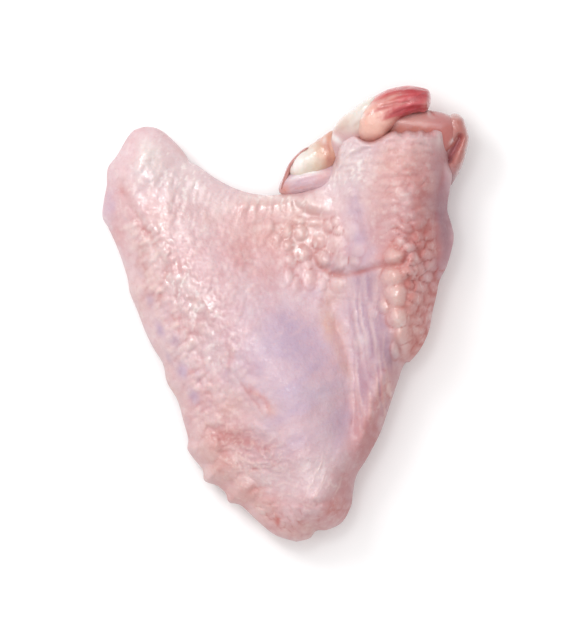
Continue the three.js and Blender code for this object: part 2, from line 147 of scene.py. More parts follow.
# Pads of fat and hollows: (x, y, radius, height).
LUMPS = [
    (-14, -62, 7, 0.8), (-27.6, -46, 4, 0.7), (-18, -47, 4, 0.6), (-10, -48, 3, 0.5),
    (-54, 63.6, 3.2, -0.7), (-57.8, 67.6, 4.2, 1.5), (-56.5, 58, 3.4, 1.2), (-61, 61, 3, 0.8),
    (-68, 58, 5, 0.9), (22.4, 73, 3.4, 1.4), (8, -20, 22, 1.2), (-3, 43, 7, 0.6), (10, 48, 7, 1.2),
    (16, 45, 5, 0.8),
]

# Beads of fat round the feather roots, where they stand out singly: (x, y, radius, stretch along y, height).
BEADS = [
    (45.4, 24, 4.2, 1, 1.7), (45.0, 15.6, 4.6, 1, 2.5), (46.2, 7.6, 5, 1, 2.7), (41.5, 3.2, 2.8, 1, 1.7),
    (47.6, -1.8, 4.6, 1, 2.5), (53.6, -1.6, 4.2, 1, 1.9), (49.8, -8.6, 4.4, 1, 2.4),
    (52.4, -15, 4.6, 1, 2.1), (46.2, -14.8, 2, 2, 1.2), (54.6, 6, 4.4, 1, 1.9), (55.6, -8.6, 3.6, 1, 1.6),
    (51.4, 18, 3.8, 1, 1.5), (1.5, 34.7, 2.3, 1.6, 1.3), (6.8, 33.9, 3, 1.1, 1.5), (6.4, 39, 3.2, 0.7, 1.1),
    (13, 38.2, 3.6, 0.6, 1.1), (14.4, 30.8, 3.2, 1, 1.5), (18.6, 37, 2.6, 1, 1.2),
    (21.4, 38.2, 2.6, 0.9, 1.2), (22.6, 35, 2.8, 1, 1.1), (8, 25.2, 3.6, 1, 1.6), (16, 22.8, 3.7, 1, 1.7),
    (1.6, 28.6, 2.4, 1.2, 1.2), (21.6, 29.8, 4.6, 1, 1.3), (27.4, 34.6, 4.2, 1, 0.8),
    (23.4, 22.4, 4.2, 0.9, 1.7), (28.6, 22, 3, 0.8, 1.3), (30.6, 26.8, 3, 1.1, 1.0),
    (17.6, 16.4, 2.2, 1.2, 1), (10.6, 15.2, 2.8, 1.8, 1.1), (22.4, 13.2, 3.2, 1.4, 1.3),
    (15.4, 12.4, 2.4, 1.3, 0.9), (1.8, 16, 2, 1.9, 0.9), (5, 12.6, 2, 1.6, 0.8), (-3, 31, 2.2, 1.5, 0.9),
    (-6.5, 36, 2.2, 1.7, 0.8), (10, 20, 2.4, 1.1, 1.0), (3, 22, 2.4, 1.3, 0.9), (24.4, -5, 2.6, 1.3, 0.8),
    (31, -12, 2.6, 1.6, 0.8), (37.2, -0.4, 1.8, 1.4, 0.8), (30, -0.6, 1.8, 1.3, 0.7),
    (33.4, 5.6, 1.8, 1.2, 0.6), (40.6, -27, 2.2, 1.5, 1.1), (44.6, -31.6, 2, 1.6, 1.0),
    (36.8, -22, 2, 1.8, 0.8), (41.4, -36, 2, 1.5, 0.9), (36, -43, 2, 1.6, 0.9), (40.2, -45, 1.8, 1.5, 0.8),
    (33, -52, 2, 1.5, 0.8), (-31.4, -56.6, 5.6, 1.1, 2.1), (-24.6, -65, 5.8, 1.1, 2.4),
    (-17.4, -74.2, 5.6, 1.1, 2.2), (-36.6, -49, 4, 1.3, 0.9), (-38.2, -56.4, 3.4, 1, 1.2),
    (-31.6, -66.4, 3.6, 1, 1.4), (-8, -80, 5, 0.8, 1.4), (-11, -67, 4, 0.8, 1.0), (-9, -41, 2, 1.5, 0.8),
    (-13, -46, 2, 1.4, 0.7), (-1, -52, 2, 1.6, 0.6), (-6, -58, 2, 1.4, 0.6),
]

# ------------------------------------------------------------------ lobes at the shoulder

# Each lobe: (line of (x, y, half width, bottom, top), shares rounded at start and end, squareness).
RED_MUSCLE = (
    [
        (35.9, 70.6, 4.6, 15, 30), (36.6, 76.2, 6.6, 15, 34), (38.7, 81.4, 7.5, 14.5, 36),
        (43.4, 86.1, 7.1, 14, 36), (50, 88.8, 6.3, 14, 35), (56, 89.4, 5.4, 14.5, 34),
        (61.2, 88.8, 4.6, 15, 31.5),
    ],
    (0.14, 0.07), 2.7,
)
PALE_MUSCLE = (
    [
        (46, 20, 5, 17, 28), (50, 45, 9, 13, 31), (54.4, 66, 11, 12, 31), (55.8, 72, 14, 12, 31),
        (57, 76, 16, 12, 31.5), (57.9, 80.4, 17, 12, 32), (58.2, 85.6, 17.2, 14, 30.5),
    ],
    (0.12, 0.13), 3.4,
)
FLANK_FLAP = (
    [
        (69.7, 54, 1.3, 13, 19), (70.1, 59.8, 2.8, 13, 23), (71.3, 66, 4.3, 12, 27),
        (72.1, 72, 4.9, 11, 28.5), (71.8, 78, 4.3, 12, 29.5), (71, 84, 3.2, 15, 29.5),
    ],
    (0.18, 0.12), 2.4,
)
LOWER_SLIP = (
    [
        (-2.2, 51.3, 2.8, 6, 14), (4.6, 55, 5, 4, 18.5), (12, 56.8, 5.5, 4, 20.5), (20, 58, 6, 5, 19),
        (29, 55.5, 3.6, 8, 15),
    ],
    (0.14, 0.16), 2.3,
)
GRISTLE = (
    [
        (3.6, 57, 3.6, 10, 18), (8.4, 62.3, 5.5, 9, 20.5), (14.8, 66, 6.4, 8, 22), (20, 70.4, 5.8, 9, 21.5),
        (25, 75.6, 4.4, 12, 21),
    ],
    (0.12, 0.14), 2.2,
)
SHEATH = (
    [
        (25.2, 63, 3.6, 12, 19), (24.3, 67.6, 4.8, 11, 22), (24.9, 71.8, 5.9, 10, 25.2),
        (27, 76.2, 6.5, 10, 28.5), (31.4, 80.8, 5.7, 11, 31.5), (35.4, 86, 4, 13, 33.5),
        (40, 90.4, 2.2, 17, 31),
    ],
    (0.12, 0.1), 2.8,
)
CAPSULE = (
    [
        (-1.1, 51.2, 1, 7, 13.5), (-0.2, 55, 1.1, 7, 15.5), (1.2, 59, 1.1, 7, 16.5),
        (2.7, 62.8, 0.9, 8, 17.5), (5.2, 66, 0.8, 8, 18), (8.2, 68.7, 0.7, 9, 18.5),
        (10.8, 70, 0.6, 11, 19),
    ],
    (0.1, 0.1), 3.0,
)

# ------------------------------------------------------------------ where the skin is tinted, and where shade and highlights are painted on it

# Each patch: (x, y, radius along, radius across, degrees turned from +X, strength).
LILAC_PATCHES = [
    (1, -14, 20, 14, -20, 0.85), (4, -38, 18, 18, 30, 0.75), (23, -45, 12, 5, 75, 0.75),
    (3, -5, 7, 4, 0, 0.5), (34, 13, 8, 5, 0, 0.7), (35, -4, 14, 6, -80, 0.7), (41, -18, 14, 5, -75, 0.5),
    (29, 45, 16, 5, 95, 0.75), (33, 68, 9, 3.5, 25, 0.6), (32, 28, 9, 5, 100, 0.7), (-57, 58, 5, 4, 0, 0.7),
    (-74, 45, 7, 3, 90, 0.5), (66, 40, 22, 3.4, 92, 0.8), (5, -26, 20, 22, 0, 0.35),
    (-23.5, -27, 5, 1.6, 95, 0.6), (-30, -37, 4, 2, -30, 0.5), (12, 9, 6, 4, 0, 0.3),
    (6, -55, 9, 4, 0, 0.4), (-62, 35, 8, 3, 120, 0.25), (-48, 57, 6, 4, 60, 0.15), (22, 22, 5, 3, 0, 0.4),
]
# Smooth oval windows between the quills, where the flesh shows lilac through the skin.
WINDOWS = [
    (-60, 17.5, 2.2, 1.3, 110, 0.6), (-56.2, 5.8, 2.8, 1.7, 105, 0.8), (-50, 1.7, 3.2, 2, 105, 0.4),
    (-52.3, -6.7, 3.4, 1.7, 108, 0.9), (-46.2, -10.8, 3, 2.3, 110, 0.7), (-48.5, -18.8, 3.2, 1.2, 108, 0.8),
    (-42.9, -23.8, 3.5, 2.3, 108, 1.0), (-36.2, -25.8, 2.6, 1.6, 100, 0.5),
    (-37.9, -34.6, 3.1, 2.5, 100, 1.0), (-30.8, -36.7, 1.8, 1.7, 0, 0.5),
]
PEACH_PATCHES = [
    (19, 5, 8, 2, 95, 0.6), (20, -5, 7, 3, 110, 0.9), (25, -18, 9, 4, 105, 0.6), (-4, 46.5, 20, 4, 0, 0.7),
    (8, 36, 13, 13, 0, 0.7), (-12, 36, 14, 7, 0, 0.4), (46, 65, 13, 10, 0, 0.6), (47, 10, 6, 12, 0, 0.8),
    (50, -5, 6, 12, 20, 0.7), (-52, 38, 9, 14, 25, 0.35), (-63, 34, 4, 13, 25, 0.4),
    (-55, 14, 5, 14, 25, 0.45), (-28, -62, 12, 14, 30, 0.6), (-12, -80, 12, 7, -40, 0.6),
    (-22, -38, 9, 5, -20, 0.6), (-48, -30, 4, 16, 20, 0.5), (42, 50, 9, 14, 0, 0.4), (22, 10, 4, 6, 0, 0.4),
    (-6, -39, 4, 4, 0, 0.5), (46, 26, 4, 4, 0, 0.5), (-37, 7, 3, 2, 0, 0.6), (-62, 8, 3, 14, 22, 0.4),
    (8, -92, 10, 5, 0, 0.5), (4, -47, 12, 4, 10, 0.15),
]
# Rose patches: the skin's own rose, but on the upper arm's right side they are made strong to paint shade
# where the skin turns away from the light.
ROSE_AND_SHADE_PATCHES = [
    (56, 12, 12, 28, 10, 0.88), (60, 46, 9, 22, 5, 0.9), (53, 28, 9, 10, 0, 0.5), (4, -90, 22, 7, 0, 0.28),
    (25, -80, 8, 10, 0, 0.7), (34, -57, 9, 18, -25, 0.7), (43, -34, 8, 16, -20, 0.6),
    (-25, -50, 12, 4, 0, 0.6), (54, -12, 6, 9, 20, 0.75), (46, 46, 10, 18, 0, 0.24),
    (47, 66, 10, 8, 0, 0.05), (-31, -56, 6, 5, 0, 0.5), (-24, -65, 6, 5, 0, 0.45), (-24, -42, 9, 7, 0, 0.2),
    (2, -78, 8, 5, 0, 0.2), (-17, -74, 6, 5, 0, 0.4), (-22, 40, 12, 6, 0, 0.35), (13, 28, 9, 10, 0, 0.3),
    (-59, 74, 8, 4, 0, 0.15), (48, 4, 5, 16, 0, 0.3), (-11, -36, 6, 2, -50, 0.6),
    (-3, -87, 1.6, 2.2, 0, 1.0), (-14, 29, 15, 10, 0, 0.4), (-66, 50, 6, 1.8, -55, 0.35),
    (-58, 34, 9, 1.6, -55, 0.35), (66, 68, 4, 14, 0, 0.35), (54, 68, 6, 8, 0, 0.3),
    (-40, 68, 7, 2.5, -45, 0.5), (-5, 20, 14, 8, 0, 0.2), (-24, -20, 2, 10, 0, 0.25),
    (20, -80, 8, 3, 40, 0.5), (-18, -54, 12, 2, -5, 0.5), (-46, 24, 6, 10, 20, 0.25),
    (-34, 4, 14, 15, 0, 0.2), (-33, -30, 6, 8, 0, 0.15), (-66, 53, 7, 4, 30, 0.2), (-70, 36, 3, 8, 20, 0.3),
    (57, -12, 5, 7, 20, 0.7), (-22, -78, 8, 3, -35, 0.35), (-12, -60, 14, 6, -10, 0.2),
    (-10, -78, 14, 6, -20, 0.2), (57, -4, 6, 12, 0, 0.5),
]
# Pale patches: the skin's own paler and ivory places, and painted highlights: the shine on the fold of skin
# at (21.5, 73), glint spots on the forearm and beside the shoulder, and painted light on the skin's shaded
# corner at (66.5, 73.5).
PALE_AND_HIGHLIGHT_PATCHES = [
    (-57, 67, 4.5, 5.5, 0, 1.0), (-56, 60, 7, 6, 0, 0.6), (10, -66, 10, 7, 20, 0.2),
    (-55, 71, 6, 3, -30, 0.5), (21.5, 73, 3, 2, -30, 0.9), (26, 62, 8, 10, 0, 0.5),
    (-42, 55, 8, 12, 20, 0.35), (-5, 47.5, 18, 2, 0, 0.4), (-37, 3, 4, 2, 40, 0.5),
    (-41, 13, 4, 3, 40, 0.5), (31, -11, 3, 4, 0, 0.4), (-30, 45, 10, 9, 0, 0.2), (-48, 15, 3, 3, 0, 0.3),
    (6, -34, 14, 5, 0, 0.1), (-12, -12, 10, 6, 0, 0.1), (-54, 24, 3, 4, 20, 0.35),
    (66.5, 73.5, 2.5, 4, 0, 0.5),
]
# Painted shade: darker dusky patches where the skin turns away from the light, on the upper arm's right
# strip, in the valley between the limbs, at the wrist and round the elbow.
PAINTED_SHADE_PATCHES = [
    (66, 40, 22, 4, 92, 0.95), (60, 46, 14, 6, 95, 0.3), (41, -15, 12, 4.5, -72, 0.5),
    (34, 13, 7, 5, 0, 0.3), (28, 2, 8, 12, 0, 0.12), (45, 40, 13, 8, 80, 0.25), (34, -56, 18, 6, 60, 0.34),
    (22, -45, 10, 5, 75, 0.22), (-54, 63.6, 3, 2.4, 0, 0.22), (25, 22, 8, 3, 0, 0.5),
    (60, 0, 4, 16, 0, 0.15), (27, -78, 5, 9, 10, 0.3), (-46, -20, 4, 22, 22, 0.12),
    (5, -26, 16, 18, 0, 0.08), (0, -62, 28, 13, 0, 0.2), (-28, 4, 13, 9, 0, 0.16), (20, 0, 6, 5, 0, 0.1),
    (33, -38, 5, 12, 0, 0.15), (45, -35, 4, 16, -22, 0.15), (66, 70, 5, 10, 0, 0.15),
    (-20, -52, 14, 3, 0, 0.15),
]
# Wet places: the coat is glossier there, and painted glint specks are laid on them.
WET_PATCHES = [
    (-54, 62, 12, 12, 0, 0.8), (26, 62, 10, 12, 0, 1.0), (-40, 10, 22, 7, -60, 0.9),
    (9, 30, 12, 12, 0, 0.8), (-42, 54, 9, 14, 0, 0.8), (45, 5, 5, 18, 0, 0.8), (56, 4, 8, 22, 0, 0.35),
    (12, -68, 10, 10, 0, 0.3), (-5, 46, 22, 4, 0, 0.8), (36, 0, 4, 12, 0, 0.6), (22, 73, 5, 4, 0, 1.0),
    (-30, -15, 14, 10, 0, 0.4), (-45, 40, 20, 14, 0, 0.4),
]


def linear(red, green, blue):
    """A colour given as 0 to 255 on screen, in linear light."""
    shares = (np.array([red, green, blue]) / 255 + 0.055) / 1.055
    return tuple(float(value) for value in shares**2.4)


# ------------------------------------------------------------------ numpy helpers


def hashed(i, j, seed):
    """A repeatable number from 0 to 1 for each pair of whole numbers: the fraction of a large sine."""
    value = np.sin(i * 127.1 + j * 311.7 + seed * 74.7) * 43758.5453
    return value - np.floor(value)


def noise(x, y, seed, period=None):
    """Smooth noise from 0 to 1: lattice values mixed by the curve 3t^2 - 2t^3. y may come round after a
    period."""
    i, j = np.floor(x), np.floor(y)
    s, t = x - i, y - j
    s, t = s * s * (3 - 2 * s), t * t * (3 - 2 * t)
    near_row, far_row = (j, j + 1) if period is None else (j % period, (j + 1) % period)
    low = hashed(i, near_row, seed) * (1 - s) + hashed(i + 1, near_row, seed) * s
    high = hashed(i, far_row, seed) * (1 - s) + hashed(i + 1, far_row, seed) * s
    return low * (1 - t) + high * t


def layered(x, y, seed):
    """Sum of noises, each of half the size and half the height of the one before, from 0 to 1."""
    total, weight = 0.0, 0.0
    for k in range(LAYERS):
        total = total + noise(x * 2**k, y * 2**k, seed + 11 * k) / 2**k
        weight += 0.5**k
    return total / weight


def warp(x, y, size, reach, seed):
    """Coordinates shaken by up to half the reach either way, by layered noise of the given size."""
    return (
        x + reach * (layered(x / size, y / size, seed) - 0.5),
        y + reach * (layered(x / size, y / size, seed + 5) - 0.5),
    )


def bowls(x, y, seed, uneven):
    """Heights of the nine nearest bowls turned over, one at a shaken place in each cell of rows laid like
    bricks: a random size less the steepness times the squared distance."""
    row = np.floor(y)
    for b in (-1, 0, 1):
        j = row + b
        shifted = x + 0.5 * (j % 2)
        column = np.floor(shifted)
        for a in (-1, 0, 1):
            i = column + a
            px = i + 0.5 + CENTRE_SHAKE * (hashed(i, j, seed) - 0.5)
            py = j + 0.5 + CENTRE_SHAKE * (hashed(i, j, seed + 1) - 0.5)
            size = uneven * (hashed(i, j, seed + 2) - 0.5)
            yield size - BOWL_STEEPNESS * ((shifted - px) ** 2 + (y - py) ** 2)


def domes(x, y, seed, uneven=0.4):
    """Rounded bumps side by side, 0 in the valleys and 1 on top: the logarithm of the bowls' summed
    exponentials."""
    total = np.zeros(x.shape)
    for bowl in bowls(x, y, seed, uneven):
        total += np.exp(MERGE_SHARPNESS * bowl)
    return np.clip((np.log(total) / MERGE_SHARPNESS + 0.55) / 0.7, 0, 1.2)


def cells(x, y, seed, uneven=0.5):
    """Pillows side by side: the highest bowl at each place, less a narrow bell curve of how little it stands
    above the second highest. Also gives how deep in a valley."""
    best, second = np.full(x.shape, -9.0), np.full(x.shape, -9.0)
    for bowl in bowls(x, y, seed, uneven):
        second = np.maximum(second, np.minimum(best, bowl))
        best = np.maximum(best, bowl)
    valley = np.exp(-(((best - second) / 0.16) ** 2))
    dome = np.clip((best + 0.6) / 0.8, 0, 1.2)
    # the second value tints the valleys red: partly the skin's own red, partly painted shade round each
    # pillow
    return dome - 0.25 * valley, 0.5 * valley + 0.7 * np.clip(1 - dome, 0, 1) ** 2


def pads(x, y, seed, uneven):
    """Crumpled pads: half domes side by side, half the distance of smooth noise from its middle value, whose
    zero lines are narrow curved creases."""
    folded = np.abs(2 * noise(1.3 * x + 0.4 * y, 1.3 * y - 0.4 * x, seed + 3) - 1)
    finer = np.abs(2 * noise(2.9 * x, 2.9 * y, seed + 4) - 1)
    return 0.5 * domes(x, y, seed, uneven) + 0.42 * np.sqrt(folded) + 0.12 * finer


def smooth(x, low, high):
    """0 below low, 1 above high, and the curve 3t^2 - 2t^3 between."""
    t = np.clip((x - low) / (high - low), 0, 1)
    return t * t * (3 - 2 * t)


def near(line, x, y):
    """Distance to a line of points, how far along it the nearest point is, and the offset to its left."""
    line = np.asarray(line, float)[:, :2]
    steps = np.diff(line, axis=0)
    lengths = np.hypot(steps[:, 0], steps[:, 1])
    starts = np.concatenate([[0], np.cumsum(lengths)])
    best, along, left = (np.full(x.shape, value) for value in (np.inf, 0.0, 0.0))
    for (ax, ay), (dx, dy), length, start in zip(line, steps, lengths, starts):
        t = np.clip(((x - ax) * dx + (y - ay) * dy) / length**2, 0, 1)
        ox, oy = x - ax - t * dx, y - ay - t * dy
        distance = np.hypot(ox, oy)
        closer = distance < best
        along = np.where(closer, start + t * length, along)
        left = np.where(closer, (dx * oy - dy * ox) / length, left)
        best = np.where(closer, distance, best)
    return best, along, left


def length_of(line):
    """Length of a line of points, as the sum of its steps."""
    return np.hypot(*np.diff(np.array(line, float), axis=0).T).sum()


def distances_along(points):
    """How far along a line each of its points is, seen from above: the running sum of its steps."""
    return np.concatenate([[0], np.cumsum(np.hypot(*np.diff(points[:, :2], axis=0).T))])


def patches(rows, x, y):
    """Soft ellipses, each a bell curve of its two radii, joined as one less the product of what each
    leaves."""
    total = np.zeros(x.shape)
    for cx, cy, long, wide, turn, strength in rows:
        c, s = np.cos(np.radians(turn)), np.sin(np.radians(turn))
        a, b = (x - cx) * c + (y - cy) * s, (y - cy) * c - (x - cx) * s
        total = 1 - (1 - total) * (1 - strength * np.exp(-((a / long) ** 2) - (b / wide) ** 2))
    return total


def curve_through(points):
    """A smooth curve through points (Catmull-Rom: each step's slopes are half its neighbours' difference)."""
    p = np.asarray(points, float)
    padded = np.vstack([p[:1], p, p[-1:]])
    t = (np.arange(CURVE_STEPS) / CURVE_STEPS)[:, None]
    parts = []
    for k in range(len(p) - 1):
        a, b, c, d = padded[k : k + 4]
        slope_b, slope_c = (c - a) / 2, (d - b) / 2
        squared, cubed = 3 * (c - b) - 2 * slope_b - slope_c, 2 * (b - c) + slope_b + slope_c
        parts.append(b + t * slope_b + t**2 * squared + t**3 * cubed)
    return np.vstack([*parts, p[-1:]])


def at_shares(points, shares):
    """Points of a smooth curve at shares of its length, by straight steps between its close points."""
    curve = curve_through(points)
    length = distances_along(curve)
    wanted = np.asarray(shares) * length[-1]
    return np.stack([np.interp(wanted, length, column) for column in curve.T], -1)


def rounded_steps(count, start, end):
    """Shares from 0 to 1 that crowd at both ends as even steps round quarter circles of those widths do."""
    quarter = np.pi / 2
    length = 1 - start - end + quarter * (start + end)
    s = np.linspace(0, length, count + 1)
    low = start * (1 - np.cos(np.minimum(s / start, quarter)))
    high = 1 - end * (1 - np.cos(np.minimum((length - s) / end, quarter)))
    middle = start + s - start * quarter
    return np.where(s < start * quarter, low, np.where(length - s < end * quarter, high, middle))


def put_mesh(name, points, quads, triangles, material, tints, node):
    """A smooth-shaded mesh object from arrays in millimetres, with its tints as colours of the points."""
    mesh = bpy.data.meshes.new(name)
    loops = np.concatenate([quads.ravel(), triangles.ravel()])
    starts = np.concatenate([4 * np.arange(len(quads)), 4 * len(quads) + 3 * np.arange(len(triangles))])
    mesh.vertices.add(len(points))
    mesh.vertices.foreach_set("co", (points * MM).astype(np.float32).ravel())
    mesh.loops.add(len(loops))
    mesh.loops.foreach_set("vertex_index", loops.astype(np.int32))
    mesh.polygons.add(len(starts))
    mesh.polygons.foreach_set("loop_start", starts.astype(np.int32))
    mesh.update(calc_edges=True)
    for label, channels in tints.items():
        layer = mesh.attributes.new(label, "FLOAT_COLOR", "POINT")
        values = np.clip(np.stack(channels, -1), 0, 1)
        layer.data.foreach_set("color", values.astype(np.float32).ravel())
    mesh.shade_smooth()
    mesh.materials.append(material)
    piece = bpy.data.objects.new(name, mesh)
    bpy.context.scene.collection.objects.link(piece)
    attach(piece, "root")
    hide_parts(node)


# ------------------------------------------------------------------ the skinned body


def rim_rows():
    """The rim in one round, as rows of (x, y, rounding width, edge height, 1 at the cut shoulder)."""
    rows = []
    for points, rounding, back in (
        (FOREARM_EDGE, FOREARM_ROUNDING, False),
        (WEB_EDGE, WEB_ROUNDING, False),
        (UPPER_ARM_EDGE, UPPER_ARM_ROUNDING, True),
    ):
        shares = np.linspace(0, 1, RIM_SAMPLES)
        table = np.array(rounding, float)
        place = at_shares(points, shares)
        width = np.interp(shares, table[:, 0], table[:, 1])
        height = np.interp(shares, table[:, 0], table[:, 2])
        is_cut = smooth(shares, 0.6, 0.66) if points is WEB_EDGE else 0 * shares
        part = np.column_stack([place, width, height, is_cut])
        rows.append(part[::-1] if back else part)
    return np.vstack(rows)


def plan(across, up):
    """Plan of the body: straight rows from edge to edge, bent to the web's edge by up to the third power."""
    left, right = at_shares(FOREARM_EDGE, up[:, 0]), at_shares(UPPER_ARM_EDGE, up[:, 0])
    top = at_shares(WEB_EDGE, across[0] - COLUMN_LEAN * np.sin(np.pi * across[0]) ** 2)
    wrist, shoulder = np.array(WEB_EDGE[0], float), np.array(WEB_EDGE[-1], float)
    a, b = across[..., None], up[..., None]
    straight = (1 - a) * left[:, None] + a * right[:, None]
    return straight + b**BEND_POWER * (top[None] - (1 - a) * wrist - a * shoulder)


def rim_field(x, y):
    """Distance to the rim from inside, and the rim's width, height and cut share averaged by nearness to the
    fourth. Inside lies to the right of the rim's direction."""
    rim = rim_rows()
    total, sums = np.zeros(x.shape), [np.zeros(x.shape) for _ in range(3)]
    for px, py, *values in rim:
        weight = 1 / ((x - px) ** 2 + (y - py) ** 2 + 0.04) ** 2
        total += weight
        for k in range(3):
            sums[k] += weight * values[k]
    closed = rim[np.append(np.hypot(*np.diff(rim[:, :2], axis=0).T) > 1e-6, True)]
    distance, _, left = near(closed, x, y)
    return np.where(left < 0, distance, 0), *(part / total for part in sums)


def limb(ridge, x, y):
    """A limb's crest: a bell curve of the distance to its ridge, and the crest's height there."""
    table = np.array(ridge, float)
    distance, along, _ = near(table, x, y)
    at = distances_along(table)
    spread, crest = np.interp(along, at, table[:, 2]), np.interp(along, at, table[:, 3])
    return np.exp(-((distance / spread) ** 2)), crest


def field(x, y):
    """Heights of both skins far from the rim: the limbs rise from the web by the cube root of the sum of
    their cubes."""
    (a, crest_a), (b, crest_b) = limb(FOREARM_RIDGE, x, y), limb(UPPER_ARM_RIDGE, x, y)
    top = WEB_TOP + np.cbrt((a * (crest_a - WEB_TOP)) ** 3 + (b * (crest_b - WEB_TOP)) ** 3)
    under = WEB_UNDER - np.minimum(np.cbrt(a**3 + b**3), 1) * (WEB_UNDER + SINK)
    return top, under


def broad_relief(x, y):
    """Lumps rise as (1 - q^2)^1.5, with q the share of their radius, and beads as the fifth root of the sum
    of (1 - q^2)^1.3 to the fifth. Beads are red between two that are as high, and in a ring round each foot,
    partly the skin's own red and partly painted shade.
    Folds sink as a bell curve with a lip at their left, uneven along their line.

    Returns the height in millimetres, how red a crease is, partly painted shade, and how pale a ridge is,
    partly painted highlight."""
    height, beads = np.zeros(x.shape), np.zeros(x.shape)
    x, y = warp(x, y, 7, 1.0, 91)
    for cx, cy, radius, rise in LUMPS:
        q = np.minimum(np.hypot(x - cx, y - cy) / radius, 1)
        height += rise * (1 - q * q) ** 1.5
    bx, by = warp(x, y, 4, 0.7, 95)
    second, foot, total = (np.zeros(x.shape) for _ in range(3))
    for cx, cy, radius, stretch, rise in BEADS:
        q = np.hypot(bx - cx, (by - cy) / stretch) / (BEAD_SPREAD * radius)
        dome = BEAD_RISE * rise * np.maximum(1 - q * q, 0) ** 1.3
        second = np.maximum(second, np.minimum(beads, dome))
        beads = np.maximum(beads, dome)
        foot = np.maximum(foot, min(rise / 1.4, 1) * np.exp(-(((q - 1) / 0.16) ** 2)))
        total += dome**5
    height += total**0.2
    elbow = smooth(-y, 38, 50)
    # pale tops of the beads: partly the fat's own paler tone, partly painted highlight
    tip = np.clip(0.35 * beads, 0, 0.6) * (1 - 0.75 * smooth(x, 48, 53)) * (1 - 0.5 * elbow)
    seam = np.exp(-(((beads - second) / (0.2 + 0.2 * beads)) ** 2))
    crease = (1.5 - elbow) * np.clip(second, 0, 0.6) * seam
    plain = (1 - smooth(y, 8, 14)) * (1 - smooth(x, 40, 42)) + smooth(x, 23, 26) * (1 - smooth(x, 38, 41))
    outside, broken = np.exp(-((beads / 0.5) ** 2)), smooth(noise(x / 4, y / 4, 97), 0.2, 0.7)
    ring = (0.9 - 0.5 * np.minimum(plain, 1) - 0.3 * elbow) * foot * outside * broken
    crease = np.maximum(crease, ring)
    for k, (line, width, depth, lip, redness) in enumerate(FOLDS):
        distance, along, left = near(line, x, y)
        beyond = distance**2 - left**2
        uneven = 0.45 + 1.1 * noise(along / 5, 0 * along, 61 + k)
        share = smooth(along, -3, 6) * smooth(length_of(line) - along, -3, 6) * uneven
        beside = (left - 2 * width) / (1.4 * width)
        height -= share * depth * np.exp(-((distance / width) ** 2))
        height += share * lip * np.exp(-beside * beside - beyond / (4 * width * width))
        # the red along a fold: partly the skin's own red, partly painted shade in its groove
        crease = np.maximum(crease, share * redness * np.exp(-((distance / (0.75 * width)) ** 2)))
    for line, width, rise in ELBOW_CREASES:
        distance, along, _ = near(line, x, y)
        thread = np.exp(-((distance / width) ** 2)) * (0.4 + 0.6 * noise(along / 2.5, 0 * along, 77))
        height += rise * thread
        tip = np.maximum(tip, 0.8 * thread)
    return height, crease, tip


